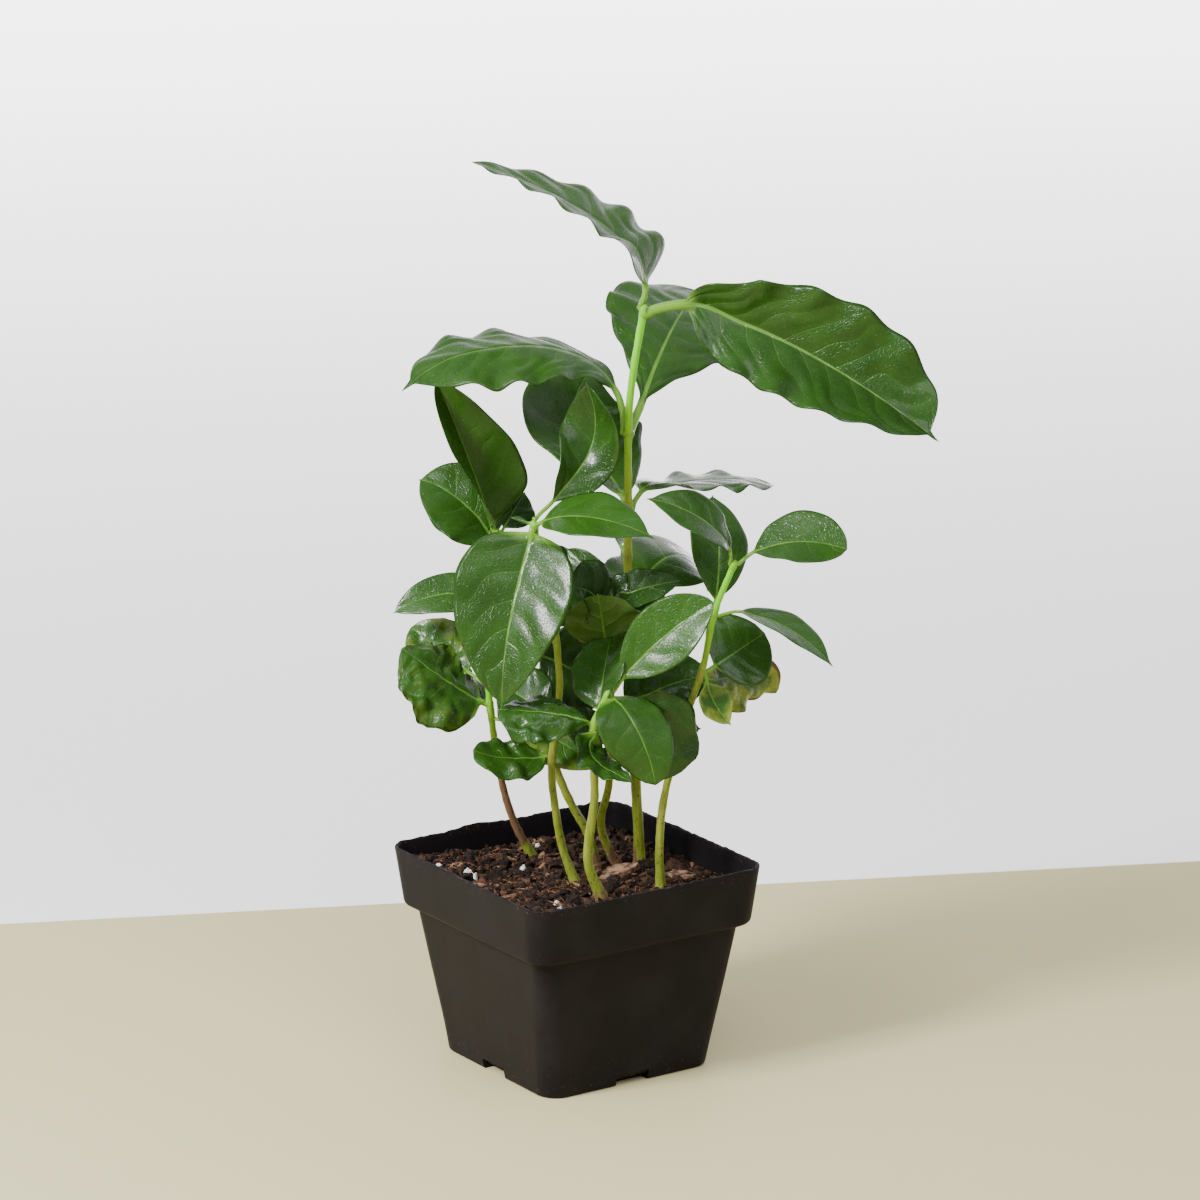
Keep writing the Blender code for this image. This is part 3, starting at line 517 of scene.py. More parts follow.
# Each seedling: the way of its stem up from the soil, its radius at foot and top, the heights
# between which it has bark, and its leaves.
SEEDLINGS = {"left": dict(
    way=[(1, 30), (-7, 30, 82), (-12, 30, 97), (-17, 28, 117), (-21, 26, 139)],
    radii=(1.6, 1.1), bark=(SOIL_TOP + 7, 104), leaves={
    "low": ((130, 150, 31.6, 21.7, -0.6, 2.6, 0.48, 0.1, 0.5), (38, 266, 49, 2, -7, -10, 0.07),
        (0.42, 0.67, 0, 0.013), (1, 1.2, 1.6), (0.35, 0.1)),
    "high": ((137, 106, 37, 15), (24, FRONT, 25, 8), ROUND, (0.6, 1, 1), (0.35, 0.25)),
    "back": ((127, 75, 31, 3, 4), (22, 75, 75), ROUND),
    "inner": ((124, 302, 43, -14, 3), (22, 237, 32), OVAL, (), (0.6, 0.3)),
}), "middle": dict(
    way=[(-3, -4), (-7, -2, 80), (-10, -2, 94), (-12, -2, 113), (-10, -4, 137), (-11, -4, 158),
         (-15, -3, 182), (-19, -1, 204)],
    radii=(1.6, 1), bark=(0, 66), leaves={
    "shield": ((201, 204, 21.6, -61.1, 3.9, -0.5, 0.57), (45, 221, 18, 1, 5, 16),
        (0.34, 0.74, 0.06, 0.012), (1.25, 0.3), (0.1,)),
    "upright": ((204, 355, 21.4, 47.4, -11.9, 1.1, 0.59, -0.8), (25, 224, -10, 7, -57, 23, -0.03),
        (0.57, 0.6, 0.06, 0.09), (1.2, 0.4), (0,)),
    "right": ((202, 304, 45.7, 0.1, 5.4, -1.9, 0.43, 0, 0.5), (25, 240, 63, 2, -1, 9, 0.02),
        (0.46, 0.78, 0.1, 0.013), (0.7, 0.5), (0.4,)),
    "young": ((203, 150, 8, 2), (3, FRONT, 70, 1, 0, 30), OVAL),
    "foot": ((116, 164, 29.5, 5.1, -1.6, 0.8, 0.58, -0.2), (18, 234, 53, 1, -3, -3, 0.04),
        (0.45, 0.48, 0, 0.025), (0.8, 1.6, 0.9), (0.3,)),
    "dark": ((128, 105, 29, 9, 2), (24, FRONT, 30), LONG, (), (0,)),
    "rear": ((159, 108, 39, -2, 4), (26, 114, 51), OVAL),
}), "slanting": dict(
    way=[(17, 13), (14, 14, 79), (9, 17, 90), (4, 21, 106), (-1, 26, 132), (-7, 30, 162),
         (-11, 34, 192)],
    radii=(1.6, 1), bark=(0, 70), leaves={
    "upright": ((191, 159, 23.2, 59.7, 0.7, -0.7, 0.4, -0.8, 0.2), (37, 273, 22, 1, -51, 42, -0.05),
        (0.29, 0.56, 0.1, 0.086), (0.5, 0.4, 0, 3), (0.45,)),
    "round": ((187, 124, 31.9, 21, 4.2, 1.3, 0.5, -0.7, 0.7), (32, 247, 40, 2, 1, 11),
        (0.42, 0.61, 0.06, 0.031), (1.3, 0.7), (0.2,)),
    "back": ((190, 30, 21, 11), (16, FRONT, 20, 3), LONG, (), (0,)),
    "side": ((164, 147, 43, -3, 6), (16, FRONT, 40), OVAL, (0.7, 0.4), (0.2,)),
    "far": ((166, 347, 31, 0, 3), (30, FRONT, 25), OVAL, (), (0,)),
    "low": ((146, 326, 30, -18, 3), (36, FRONT, 20), ROUND, (), (0,)),
    "rear": ((139, 54, 45, -5, 5), (29, 58, 62), OVAL),
    "foot": ((104, 60, 45, 7, 5), (27, 71, 56), OVAL),
}), "front": dict(
    way=[(-5, -24), (-10, -23, 80), (-10, -23, 90), (-9, -25, 105), (-10, -26, 120), (-10, -26, 132),
         (-5, -29, 146)],
    radii=(1.8, 1.1), bark=(0, 72), leaves={
    "drooping": ((144, 295, 19.7, -28, 4.8, -2.3, 0.42, 0.4, 2), (27, 254, 35, 1, 44, -6, 0.04),
        (0.33, 0.52, 0, 0.012), (0.8, 0.3), (0.3,)),
    "rising": ((146, 322, 36.4, 33, 2.5, 1.2, 0.48, 0.3, 0.2), (24, 234, 31, 5, -4, 11, -0.02),
        (0.53, 0.65, 0, 0.052), (0.8, 0.3), (0.4,)),
    "round": ((135, 41, 20.1, 25.1, 2.2, -0.3, 0.49, 0.1), (25, 197, 12, 3, 31, 16, -0.05),
        (0.51, 0.45, 0, 0.048), (1.4, 0.9), (0.1,)),
    "dark": ((141, 337, 21.9, -28.8, 8.2, 1.4, 0.53, 1.6, 0.5), (30, 268, 15, 6, -22, 21, -0.03),
        (0.5, 0.59, 0, 0.037), (0.9, 1.2, 0.8), (0.05,)),
    "left": ((133, 146, 34.5, 5.9, 2.5, 2.4, 0.3, -0.2), (25, 256, 56, 1, 23, -16, 0.1),
        (0.64, 0.54, 0.06, 0.019), (1.1, 1.3, 1.1, 3), (0.1,)),
    "low": ((131, 279, 20.3, -13.7, -5.2, -3.6, 0.3, 0.8, 0.8), (14, 275, 51, 1, 12, 4),
        (0.34, 0.6, 0.06, 0.034), (0.9, 1.4, 0.9), (0.05,)),
}), "inner": dict(
    way=[(22, 6), (17, 6, 76), (14, 5, 86), (14, 0, 100), (12, -5, 122), (10, -7, 146), (8, -8, 172)],
    radii=(1.5, 1), bark=(0, 78), leaves={
    "right": ((171, 317, 26.7, 9.5, 2.1, -2.6, 0.41, 1.7), (15, 221, 36, 1, 17, 13, -0.04),
        (0.39, 0.56, 0.1, 0.039), (1.2,), (0,)),
    "left": ((170, 97, 23.5, 17, 1.5, -1.2, 0.54, 0.2, 0.2), (14, 210, 13, 1, -3, 9),
        (0.41, 0.76, 0.1, 0.034), (1.3,), (0,)),
    "flat": ((168, 191, 19, 12, 3), (24, FRONT, 35), LONG, (1.3,), (0,)),
    "turned": ((151, 222, 18, 28), (29, 56, 40), OVAL, (), (0, 0.1)),
    "low": ((119, 200, 22, 3, 3), (22, FRONT, 30), ROUND),
    "front": ((128, 324, 37, 16, 3), (27, 252, 34), LONG, (1.1, 1, 0.4), (0.05,)),
    "back": ((112, 70, 30, 2, 5), (20, 70, 75), OVAL),
}), "tall": dict(
    way=[(27, -1), (25, -3, 82), (24, -3, 97), (22, -3, 132), (21, -2, 169), (21, -2, 203),
         (21, -2, 231), (22, -3, 250), (26, -5, 277)],
    radii=(1.9, 1.3), bark=(0, 72), leaves={
    "top_left": ((275, 122, 67.1, 47.8, 14.4, -2.2, 0.31, 3.7), (41, 322, 73, 8, -2, 13, 0.05),
        (0.28, 0.64, 0, 0.056), (1.5, 1.3, 0, 5), (0.25,)),
    "top_right": ((274, 312, 106.8, -40.7, 10.5, 1.8, 0.37, 2), (49, 209, 33, 12, -73, 30, -0.03, 1.3),
        (0.57, 0.43, 0.1, 0.042), (1.8, 1.7, 0, 6), (0.1,)),
    "far": ((230, 38, 89.5, 33.1, 11.6, -2.2, 0.53, -0.8, 0.1), (55, 256, 57, 11, 2, -6, 0.02),
        (0.66, 0.73, 0.1, 0.075), (1.5, 1, 0, 6), (0.15,)),
    "left": ((230, 157, 81.4, 25.1, 21.8, -9.8, 0.33, 0.3, 6), (43, 230, 76, 14, -22, -12, 0.02),
        (0.53, 0.73, 0.1, 0.073), (1.8, 1.5, 0, 5), (0.25,)),
    "rear": ((203, 69, 51.5, 40.3, 0.5, 11.3, 0.63, 0.8, 0.8), (47, 272, 49, 4, -28),
        (0.51, 0.71, 0.1, 0.012), (1.3, 0.6), (0.45,)),
    "level": ((202, -1, 63.4, 2.1, 5.8, 1.9, 0.3, 2.7, 2), (33, 234, 94, 7, 15, 0, 0.03),
        (0.4, 0.4, 0.1, 0.051), (1, 1.5, 0, 4)),
    "dome": ((169, 15, 46, -5, 14), (38, FRONT, 65, 6, 0, -6), (0.46, 0.6, 0.1, 0.05), (0.6, 0.3),
        (0.3,)),
    "low": ((112, 339, 25, 7, 3), (18, FRONT, 50), LONG, (), (0.2, 0.4, 0.4)),
    "back": ((140, 33, 34, 2, 5), (26, 33, 75), OVAL),
    "inner": ((185, 86, 45, 11, 6), (23, 65, 49), OVAL),
    "behind": ((154, 52, 45, 20, 5), (25, 48, 48), ROUND),
    "foot": ((104, 40, 46, -5, 3), (27, 31, 73), LONG),
}), "right": dict(
    way=[(19, -26), (17, -28, 83), (18, -29, 101), (23, -32, 126), (29, -37, 150), (33, -39, 171),
         (39, -43, 190)],
    radii=(1.6, 1.1), bark=(0, 66), leaves={
    "top": ((189, 316, 40, 6.7, 5.2, 0.8, 0.47, 0.5), (24, 229, 56, 6, 35, 15, -0.03),
        (0.52, 0.58, 0, 0.074), (0.7, 0.3), (0.2,)),
    "arching": ((188, 158, 31.6, 26.7, 6.6, 3.7, 0.4, 0.5, 0.7), (20, 232, 62, 5, -24, 9),
        (0.5, 0.8, 0.1, 0.052), (0.9, 0.4), (0.1,)),
    "upright": ((170, 57, 25.4, 37.3, 4.1, -1.9, 0.5, 0.5), (23, 262, 17, 4, 1, 3, 0.02),
        (0.54, 0.7, 0.06, 0.046), (0.8, 0.4), (0.15,)),
    "falling": ((170, 308, 43.9, -15.4, 6.1, 1.5, 0.45, 0.8), (18, FRONT, 83, 7, 9, 9),
        (0.45, 0.81, 0.1, 0.052), (0.8, 0.4), (0.2,)),
    "round": ((149, 355, 26, 11), (29, FRONT, 25, 4, 0, 6), ROUND, (0.6, 0.3), (0.3,)),
    "old": ((147, 14, 42.1, -14.4, 3, -0.3, 0.66, -0.5, 0.4), (25, 221, 15, 1, -18, -3, 0.03),
        (0.4, 0.68, 0, 0.033), (0.5, 2.4, 1, 4), (0.4, 0.6, 0.9)),
    "folded": ((149, 298, 12, -18, -2), (14, 256, 10, 3, 0, 25), LONG, (0.6, 1.2), (0.4, 0.5, 0.6)),
})}


def smooth_way(way, count):
    """Points of a Catmull-Rom curve through a stem's way, evenly spread in height."""
    knots = np.array([(*way[0], STEM_FOOT), *way[1:]], float)
    knots = np.vstack([2 * knots[0] - knots[1], knots, 2 * knots[-1] - knots[-2]])
    t = np.linspace(0, 1, 12)[:, None]
    pieces = [0.5 * (2 * start + (end - before) * t
                     + (2 * before - 5 * start + 4 * end - after) * t ** 2
                     + (3 * start - before - 3 * end + after) * t ** 3)
              for before, start, end, after in zip(knots, knots[1:], knots[2:], knots[3:])]
    dense = np.vstack(pieces)
    heights = np.linspace(dense[0, 2], dense[-1, 2], count)
    return np.stack([np.interp(heights, dense[:, 2], dense[:, axis]) for axis in (0, 1, 2)], 1)


def stem_radius(seedling, height):
    """Radius at a height: an even taper, and the flare just over the soil."""
    foot, top = seedling["radii"]
    share = (height - SOIL_TOP) / (seedling["way"][-1][2] - SOIL_TOP)
    flare = 1 + STEM_FLARE * np.exp(-(height - STEM_FOOT) / FLARE_HEIGHT)
    return (foot + (top - foot) * share) * flare


def stem_surface(seedling, seed):
    """Rings round the stem's axis, every STEM_ROW: the plain radius, a swelling at each leaf
    node and a smaller one over it, two faint ridges that turn slowly, and skin ripple."""
    top = seedling["way"][-1][2]
    rows = int((top - STEM_FOOT) / STEM_ROW)
    axis = smooth_way(seedling["way"], rows)
    height = axis[:, 2]
    nodes = sorted({midrib[0] for midrib, *_ in seedling["leaves"].values()})
    ahead = unit(np.gradient(axis, axis=0))
    side = unit(np.cross(ahead, [0, 1, 0]))
    other = np.cross(ahead, side)
    swollen = sum(np.exp(-((height - at) / NODE_LENGTH) ** 2)
                  + 0.35 * np.exp(-((height - at - 3) / 0.8) ** 2) for at in nodes)
    angle = np.arange(STEM_SIDES) * 2 * np.pi / STEM_SIDES
    radius = stem_radius(seedling, height)[:, None] * (1 + NODE_SWELL * swollen[:, None])
    ridges = RIDGE * np.cos(2 * angle + height[:, None] / 60 + seed)
    round_top = np.sqrt(np.clip((top - height) / 1.2, 0.02, 1))[:, None]
    ring = radius * (1 + ridges) * round_top
    points = (axis[:, None] + (ring * np.cos(angle))[..., None] * side[:, None]
              + (ring * np.sin(angle))[..., None] * other[:, None])
    ripple = RIDGE * swell(points * (1, 1, 0.35), 1.6, seed) + RIPPLE * swell(points, 5, seed + 1)
    points += ripple[..., None] * unit(points - axis[:, None])
    low, high = seedling["bark"]
    bark = (np.clip((high - height) / BARK_FADE + 0.5, 0, 1)
            * np.clip((height - low) / FOOT_FADE + 0.5, 0, 1))
    old = np.clip((top - height) / (top - SOIL_TOP), 0, 1)
    fields = np.stack([np.broadcast_to(x[:, None], ring.shape) for x in (bark, old, swollen)], -1)
    points[0, :, 2] -= STEM_SUNK
    return points, fields


def stem_skin():
    """Green skin, yellower below, with brown bark patches that close up towards the foot, dark
    specks, and a brown scar line round each node."""
    skin = Finish("stem_skin", Specular_IOR_Level=0.22, Subsurface_Weight=0.08,
                  Subsurface_Scale=0.001)
    times, plus, fade, blend, noise = skin.ways()
    place = skin.place()
    bark, old, node = skin.field("stem")
    streaks = noise(place, 900, 4, stretch=(1, 1, 0.12))
    patches = noise(place, 240, 5, stretch=(1, 1, 0.35))
    specks = fade(noise(place, 1100, 2), 0.61, 0.68)
    green = blend(fade(streaks, 0.3, 0.7), (0.16, 0.6, 0.004), (0.21, 0.68, 0.009))
    aged = blend(fade(streaks, 0.3, 0.7), (0.165, 0.21, 0.018), (0.25, 0.29, 0.037))
    colour = blend(fade(old, 0, 0.42), green, aged)
    brown = blend(streaks, (0.11, 0.06, 0.028), (0.23, 0.13, 0.065))
    barked = plus(bark, times(skin.math("SUBTRACT", patches, 0.5), 1.6))
    barked = fade(barked, 0.42, 0.72)
    colour = blend(barked, colour, brown)
    specks = times(specks, fade(old, 0.3, 0.9, 0.1, 0.8))
    colour = blend(specks, colour, (0.045, 0.026, 0.014))
    colour = blend(fade(node, 0.8, 1, 0, 0.35), colour, (0.16, 0.13, 0.05))
    relief = plus(streaks, times(barked, times(patches, 2)))
    return skin.finish(colour, fade(barked, 0, 1, 0.42, 0.75), relief, 0.00012)


skin = stem_skin()
for number, (name, seedling) in enumerate(SEEDLINGS.items()):
    points, fields = stem_surface(seedling, 40 + number)
    make_piece(f"stem_skin_{name}", points, skin, [f"stem_{name}"],
               fields={"stem": fields})


# ---- the leaves ----
# Coffee leaves grow in opposite pairs. A short channelled petiole runs on as the pale midrib;
# side veins are sunk in the glossy upper side, which bulges between them, and the margin waves
# in step with them. The underside is paler and matt, with the midrib standing out.
BLADE = 0.42  # thickness of the blade
ROW = 0.95  # distance between rows along a leaf
ACROSS = 36  # steps from margin to margin
CROWDING = 1.4  # how closely they stand at the midrib
AXIS_POINTS = 160  # along a stem, to find where a leaf starts
STALK_OUT = 0.35  # how far off the stem's skin the midrib's way begins
STALK_IN = 0.8  # how deep it is rooted, as a share of the stem's radius
THINNEST_STALK = 0.55
STALK_SHARE = 0.027  # of the leaf's width: radius of the petiole
THINNEST_RIB = 0.06
BLADE_START = 0.07  # share of the blade in which it grows out of the petiole
SOFT_FOLD = 0.04  # of the width: how round the fold along the midrib is
DRIP_WIDTH = 0.16
DRIP_LENGTH = 0.16
VEIN_LEAN = 0.17  # a side vein gains this share of the blade by the margin
VEIN_CURVE = 0.1  # and this much more, all near the margin
VEIN_STEP = 10.5  # usual distance between side veins
WAVE_STEP = 15  # usual length of a wave of the margin
WAVE_OUT = 0.018  # how far a wave goes out, as a share of the half width
WAVE_UP = 0.055  # and up, as the bulges between the side veins do by BULGE_UP
BULGE_UP = 0.03
OLD_LEAVES = ("left_leaf_low", "left_leaf_high", "right_leaf_old", "right_leaf_folded",
              "tall_leaf_low")


def direction(heading, height):
    heading, height = np.radians(heading), np.radians(height)
    return np.array([np.cos(heading) * np.cos(height), np.sin(heading) * np.cos(height),
                     np.sin(height)])


def half_width(v, belly, full, drip, base):
    """Share of the half width at v along the blade: a full bow with a narrow drip tip, which
    starts as a wedge."""
    body = np.sin(np.pi * np.clip(v / (1 - drip / 2), 0, 1) ** (np.log(0.5) / np.log(belly))) ** full
    near_tip = np.clip((v - 0.5) / 0.4, 0, 1)
    spike = DRIP_WIDTH * np.clip((1 - v) / DRIP_LENGTH, 0, 1) ** 0.8
    spike = spike * near_tip ** 2 * (3 - 2 * near_tip) * (drip > 0)
    return np.maximum(body, spike) * (1 - np.exp(-(v / base) ** 1.3))


def midrib_line(seedling, at, heading, reach, rise, arch=0, bow=0, peak=0.5, spring=0, curl=0):
    """The midrib from inside the stem to the tip, and each point's share of the way: a straight
    chord plus a hump, a lift near its beginning and a sinking tip."""
    way = smooth_way(seedling["way"], AXIS_POINTS)
    axis_point = np.array([*(np.interp(at, way[:, 2], way[:, k]) for k in (0, 1)), at])
    row = min(np.searchsorted(way[:, 2], at), len(way) - 2)
    stem_axis = unit(way[row + 1] - way[row - 1])
    outward = direction(heading, 0)
    outward = unit(outward - outward @ stem_axis * stem_axis)
    leftward = direction(heading + 90, 0)
    start = axis_point + outward * (stem_radius(seedling, at) + STALK_OUT)
    chord = axis_point + direction(heading, 0) * reach + (0, 0, rise) - start
    lifted = unit(np.cross(chord, leftward))
    t = np.linspace(0, 1, int(np.linalg.norm(chord) / ROW)) ** 0.95
    u = t ** (np.log(0.5) / np.log(peak))
    hump = (4 * u * (1 - u))[:, None]
    line = start + t[:, None] * chord + hump * (lifted * arch + leftward * bow)
    line[:, 2] += spring * np.sin(np.pi * np.clip(t / 0.3, 0, 1)) ** 2
    line[:, 2] -= curl * np.clip((t - 0.75) / 0.25, 0, 1) ** 2
    rooted = np.array([[stem_radius(seedling, at) * STALK_IN + STALK_OUT], [STALK_OUT]])
    return np.vstack([start - outward * rooted, line]), np.concatenate([[0, 0], t])


def leaf_surface(midrib, t, seed, width, face_to, face_up, belly, full, drip, base, petiole=4,
                 twist=0, fold=8, droop=0, stalk=1, quilt=1, wave=1, pucker=0, beats=0):
    """Rings along the midrib, each from the left margin over the upper side to the right one and
    back below. The blade's halves rise by `fold` and sink again by `droop` towards the margins.
    On that lie the bulges between the side veins (the sine of the vein count, 0 on a vein), the
    margin's waves, which grow from the middle of each half outwards, and random puckers."""
    ahead = unit(np.gradient(midrib, axis=0))
    steps = np.linalg.norm(np.diff(midrib, axis=0), axis=1)
    steps[:2] = 0
    along = np.concatenate([[0], np.cumsum(steps)])
    length = along[-1] - petiole
    v = np.clip((along - petiole) / length, 0, 1)[:, None]
    up = direction(face_to, face_up)
    up = unit(up - (ahead @ up)[:, None] * ahead)
    turn = np.radians(twist * (t - 0.5))[:, None]
    up = up * np.cos(turn) + np.cross(ahead, up) * np.sin(turn)
    across = np.cross(up, ahead)

    # One ring: s goes 1 .. -1 above and back below, with its points crowded at the midrib.
    s = np.linspace(1, -1, ACROSS + 1)
    s = np.concatenate([s, s[-2:0:-1]])
    s = np.sign(s) * np.abs(s) ** CROWDING
    above = np.where(np.arange(len(s)) <= ACROSS, 1, -1)
    share = np.abs(s)
    side = np.sign(s)

    # How wide each ring is: a round petiole, then the blade, never narrower than its rib.
    stalk = stalk * max(THINNEST_STALK, STALK_SHARE * width)
    rib = stalk * (1 - v) ** 1.1 + THINNEST_RIB
    rib[:2] *= 1.25
    draw = np.random.default_rng(seed)
    beats = beats or max(3, length / WAVE_STEP)
    beat = 2 * np.pi * (beats * (v - 0.06 * share) + draw.uniform(0, 1, 2)[(side > 0).astype(int)])
    spread = np.maximum(width / 2 * half_width(v, belly, full, drip, base), rib)
    x = spread * s * (1 + wave * WAVE_OUT * np.cos(beat) * (v > 0))
    begun = np.clip(v / BLADE_START, 0, 1)
    begun = begun ** 2 * (3 - 2 * begun)

    # The lie of the blade's halves, the bulges between side veins, waves and puckers.
    tilt = np.radians(fold) * begun
    soft = SOFT_FOLD * width
    lift = (np.sqrt(x ** 2 + soft ** 2) - soft) * np.sin(tilt) - droop * spread * share ** 2 * begun
    wander = 0.06 * share * swell(np.dstack(np.broadcast_arrays(3 * v, s)), 0.9, seed)
    vein = v - VEIN_LEAN * share - VEIN_CURVE * share ** 3 + wander
    vein = max(4, round(length / VEIN_STEP)) * vein + 0.3 * side
    middle = np.sin(np.pi * v) ** 0.6
    bulge = np.abs(np.sin(np.pi * vein)) ** 1.5 * share ** 0.6 * (1 - share ** 3)
    outer = np.clip((share - 0.25) / 0.75, 0, 1) ** 1.6
    uneven = 1 + 0.35 * swell(np.dstack(np.broadcast_arrays(2 * v, side)), 0.9, seed + 1)
    lift = lift + middle * width ** 0.8 * (
        BULGE_UP * quilt * bulge + WAVE_UP * wave * np.sin(beat) * outer * uneven)
    flat_place = np.dstack(np.broadcast_arrays(along[:, None], x))
    if pucker:
        lift = lift + pucker * middle * share ** 0.5 * (
            swell(flat_place, 8, seed + 2) + 0.45 * swell(flat_place, 4, seed + 3))

    # The thickness: a round petiole whose lower side runs on as the midrib.
    stem_round = np.sqrt(np.clip(rib ** 2 - x ** 2, 0, None))
    blade = BLADE / 2 * np.sqrt(np.clip(1 - share ** 6, 0, 1)) * begun
    top = stem_round * (1 - begun) + begun * (blade - 0.35 * rib * np.exp(-(x / (1.6 * rib)) ** 2))
    thick = np.where(above > 0, top, np.hypot(blade, stem_round))
    thick = thick * np.clip((1 - v) / 0.04, 0.05, 1)
    points = (midrib[:, None] + (x * np.cos(tilt))[..., None] * across[:, None]
              + (lift + above * thick)[..., None] * up[:, None])
    stalky = 1 - np.clip((v - 0.01) / 0.05, 0, 1)
    fields = {"blade": np.stack(np.broadcast_arrays(vein, share, v), -1),
              "kind": np.stack(np.broadcast_arrays(above < 0, stalky, rib + 0 * x), -1)}
    return points, fields, np.stack([flat_place[..., 0], x + 50], -1) * 0.01


def leaf_skin(name):
    """A leaf's skin: cloudy greens, a pale midrib, side veins that fade to the margin, a fine
    net of veinlets, a paler matt underside, and, as far as its point's age and light field
    says, a lighter green that is partly the leaf's own tone and partly painted light and shade,
    yellow between the veins and a brown margin."""
    leaf = Finish(name, Specular_IOR_Level=0.24, Coat_Weight=0.14, Coat_Roughness=0.12)
    times, plus, fade, blend, noise = leaf.ways()
    vein, share, v = leaf.field("blade")
    under, stalk, rib_size = leaf.field("kind")
    tone_and_painted_light, yellowing, browning = leaf.field("age_and_painted_light")
    place = leaf.node("UVMap", {}, uv_map="size")
    across = leaf.math("SUBTRACT", leaf.parts(place)[1], 0.5)
    off_rib = times(leaf.math("ABSOLUTE", across), 100)
    rib = leaf.math("DIVIDE", off_rib, leaf.math("MULTIPLY_ADD", rib_size, 0.55, 0.1))
    rib = fade(rib, 0.5, 1.1, 1, 0)
    to_vein = leaf.math("PINGPONG", vein, 0.5)
    side_vein = times(fade(to_vein, 0.006, 0.055, 1, 0), fade(share, 0.25, 0.9, 1, 0.15))
    hollow = fade(to_vein, 0, 0.3, 1, 0)
    cell = leaf.node("TexVoronoi", {"Vector": place, "Scale": 95, "Randomness": 0.9},
                     feature="DISTANCE_TO_EDGE")
    net = fade(cell, 0, 0.12, 1, 0)
    clouds = noise(place, 9, 5)
    fine = noise(place, 70, 3)

    green = blend(fade(clouds, 0.3, 0.7), (0.01, 0.04, 0.003), (0.018, 0.066, 0.005))
    # Lighter green by the leaf's first age number: partly its own tone, partly painted light and shade
    # set for how lit the leaf looks.
    green = blend(tone_and_painted_light, green, (0.04, 0.132, 0.009))
    green = blend(times(hollow, 0.06), green, (0.055, 0.15, 0.014))
    green = blend(times(fine, 0.25), green, (0.008, 0.034, 0.003))
    patches = plus(noise(place, 14, 4), times(share, 0.25), times(yellowing, 0.25))
    sick = times(fade(patches, 0.58, 0.92), leaf.math("MINIMUM", 1, times(yellowing, 1.6)))
    green = blend(sick, green, (0.24, 0.29, 0.035))
    vein_green = (0.08, 0.195, 0.026)
    colour = blend(times(side_vein, 0.12), green, vein_green)
    colour = blend(times(net, 0.06), colour, vein_green)
    pale = leaf.math("MAXIMUM", times(side_vein, 0.8), times(net, 0.2))
    below = blend(sick, (0.036, 0.09, 0.012), (0.22, 0.26, 0.05))
    below = blend(pale, below, (0.1, 0.2, 0.04))
    colour = blend(under, colour, below)
    rib = times(rib, fade(v, 0.1, 1, 0.95, 0.6))
    colour = blend(rib, colour, (0.11, 0.25, 0.032))
    scorch = plus(times(share, fade(v, 0.2, 1, 0.75, 1)), times(noise(place, 22, 4), 0.42),
                  times(browning, 0.3))
    scorch = times(fade(scorch, 1.26, 1.34), fade(browning, 0, 0.1))
    colour = blend(scorch, colour, (0.13, 0.06, 0.026))
    colour = blend(fade(share, 0.97, 1, 0, 0.4), colour, vein_green)
    colour = blend(times(stalk, 0.95), colour, (0.15, 0.33, 0.03))
    specks = fade(noise(place, 130, 1), 0.735, 0.77, 0, 0.22)
    colour = blend(specks, colour, (0.45, 0.5, 0.4))
    rough = plus(times(clouds, 0.26), times(under, 0.3), 0.09)
    relief = leaf.math("SUBTRACT", times(fine, 0.35), times(net, 0.22))
    sunk = fade(under, 0, 1, -0.5, 1.2)
    relief = plus(relief, times(side_vein, sunk), times(hollow, times(sunk, 0.4)))
    return leaf.finish(colour, rough, relief)


SKINS = {kind: leaf_skin(f"{kind}_skin") for kind in ("leaf", "old_leaf")}
draw = np.random.default_rng(77)
seed = 100
for stem, seedling in SEEDLINGS.items():
    for place, (midrib, *groups) in seedling["leaves"].items():
        values = {name: value for names, group in zip(LEAF_GROUPS[1:], groups)
                  for name, value in zip(names, group)}
        # The first of these numbers is partly the leaf's own tone and partly painted light and shade,
        # set leaf by leaf for how lit it looks.
        age_and_painted_light = (values.pop("tone_and_painted_light", draw.uniform(0.1, 0.4)), values.pop("yellow", 0),
               values.pop("brown", 0))
        seed += 10
        points, fields, uv = leaf_surface(*midrib_line(seedling, *midrib), seed, **values)
        fields["age_and_painted_light"] = np.broadcast_to(age_and_painted_light, points.shape)
        name = f"{stem}_leaf_{place}"
        kind = "old_leaf" if name in OLD_LEAVES else "leaf"
        make_piece(f"{name}_blade", points, SKINS[kind], [name], None, fields, uv)


# ---- table, wall, lights and camera ----
# A sand-coloured table top whose far edge meets a light grey backdrop, a soft light from the
# left, a weak one from the front, a bright wall's glow from behind, and a long lens.
TABLE_EDGE = ((-0.1017, 0.2504), (0.3355, 0.0519))
WALL_HEADING = 56
WORLD_DIM = 0.68  # how bright it is all round
WORLD_GLOW = 1  # and how much brighter towards the wall
LAMPS = (("window", 184, 33, 1.3, 0.3, 24),  # heading, height, distance, size, watts
         ("window_glow", 176, 38, 1.5, 1.1, 11),
         ("soft_front", 262, 50, 1.5, 0.9, 10))
CAMERA_HEADING, CAMERA_HEIGHT, CAMERA_DISTANCE = -124, 15.3, 2.118
AIM_ASIDE, AIM_UP = 0.0085, 0.1716  # where it looks, beside and above the middle of the pot
LENS = 178.5


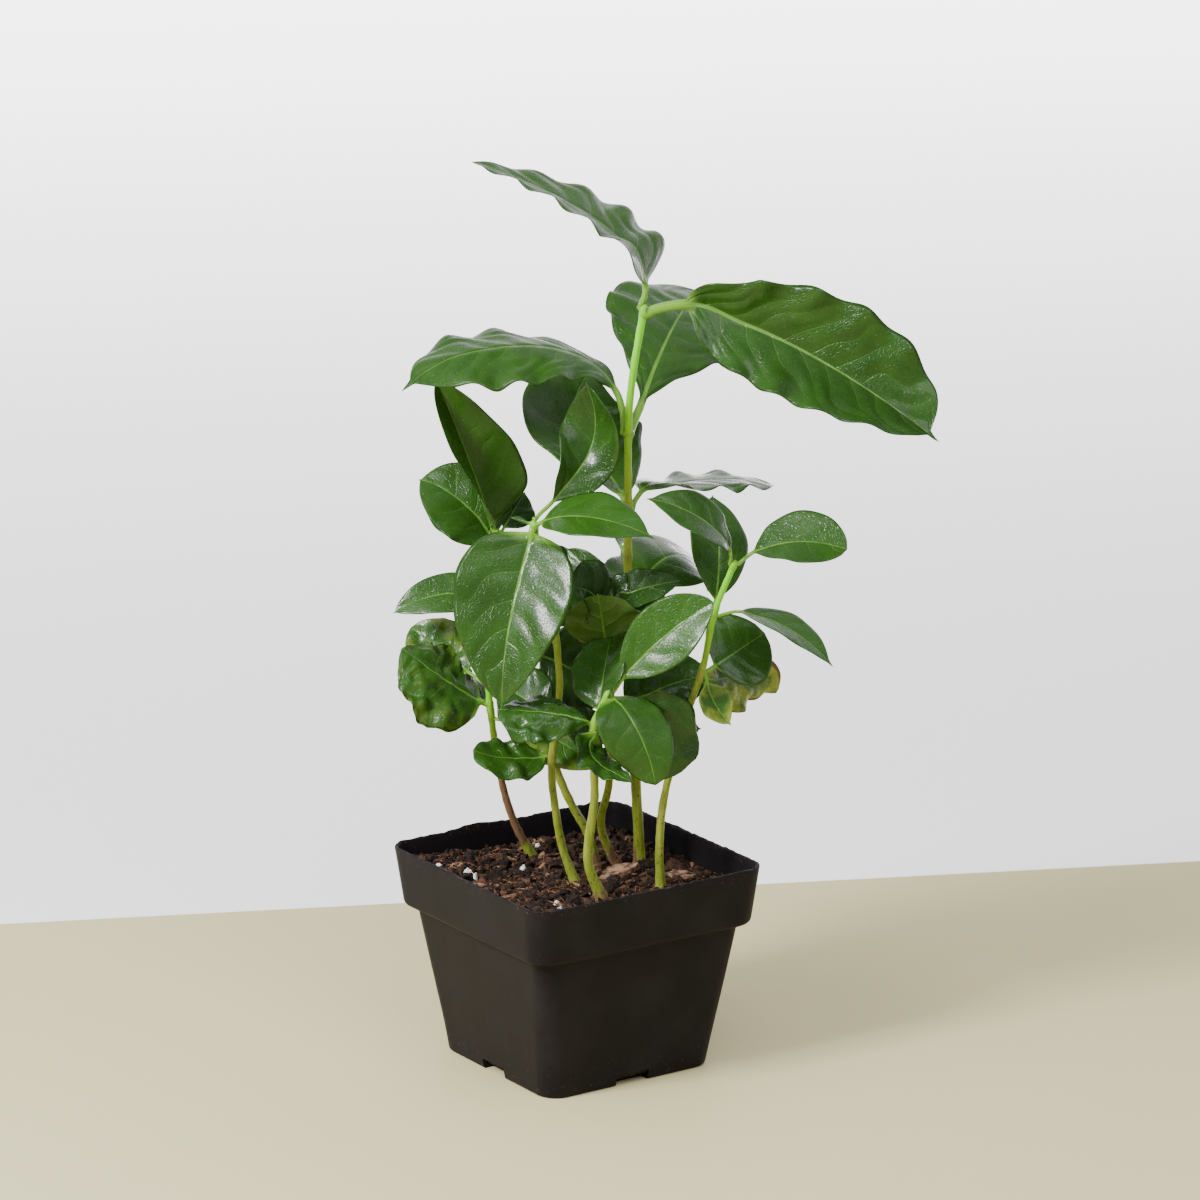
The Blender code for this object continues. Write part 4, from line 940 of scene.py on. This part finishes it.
def backdrop_finish():
    """One level sheet in two tones: sand-coloured up to the table's far edge, then light grey
    that glows like a lit wall, brighter away from the table."""
    sheet = Finish("backdrop", Roughness=0.6, Specular_IOR_Level=0.2, Emission_Color=(1, 1, 1, 1))
    x, y = sheet.parts(sheet.place())[:2]
    (x0, y0), (x1, y1) = TABLE_EDGE
    slope = (y1 - y0) / (x1 - x0)
    past = sheet.math("SUBTRACT", y, sheet.math("MULTIPLY_ADD", x, slope, y0 - x0 * slope))
    mottle = sheet.noise(sheet.place(), 30, 4)
    sand = sheet.blend(mottle, (0.65, 0.59, 0.32), (0.668, 0.606, 0.334))
    beyond = sheet.fade(past, -0.0005, 0.0005)
    colour = sheet.blend(beyond, sand, (0.62, 0.62, 0.62))
    glow = sheet.times(beyond, sheet.fade(past, 0, 3.2, 0.95, 5.6))
    sheet.tree.links.new(glow, sheet.shader.inputs["Emission Strength"])
    return sheet.finish(colour)


floor_mesh = bpy.data.meshes.new("backdrop")
floor_mesh.from_pydata([(-6, -6, 0), (6, -6, 0), (6, 6, 0), (-6, 6, 0)], [], [(0, 1, 2, 3)])
floor_mesh.materials.append(backdrop_finish())
put_in("backdrop", floor_mesh)


def studio_world():
    """Dim all round, with the glow of a lit wall low behind the table: brighter towards the
    wall's heading, times brighter near the horizon."""
    world = bpy.data.worlds.new("studio")
    world.use_nodes = True
    sky = Pattern(world.node_tree)
    way = sky.node("TexCoord", {})
    facing = sky.node("VectorMath", {0: way, 1: direction(WALL_HEADING, 0)}, out=1,
                      operation="DOT_PRODUCT")
    strength = sky.math("MULTIPLY_ADD", sky.fade(facing, 0, 0.6),
                        sky.fade(sky.parts(way)[2], 0.3, 0.62, WORLD_GLOW, 0), WORLD_DIM)
    background = sky.tree.nodes["Background"]
    sky.tree.links.new(strength, background.inputs["Strength"])
    background.inputs["Color"].default_value = (1, 1, 1, 1)
    return world


bpy.context.scene.world = studio_world()
middle = Vector((0, 0, 0.17))
for name, heading, height, distance, size, power in LAMPS:
    lamp = bpy.data.lights.new(name, "AREA")
    lamp.size = size
    lamp.energy = power
    light = put_in(name, lamp)
    light.location = middle + distance * Vector(direction(heading, height))
    light.rotation_euler = (middle - light.location).to_track_quat("-Z", "Y").to_euler()

aim = Vector(AIM_ASIDE * direction(CAMERA_HEADING + 90, 0) + (0, 0, AIM_UP))
back = Vector(direction(CAMERA_HEADING, CAMERA_HEIGHT))
camera = put_in("camera", bpy.data.cameras.new("camera"))
camera.data.lens = LENS
camera.data.sensor_width = 36
camera.data.clip_end = 20
camera.location = aim + back * CAMERA_DISTANCE
camera.rotation_euler = back.to_track_quat("Z", "Y").to_euler()
bpy.context.scene.camera = camera
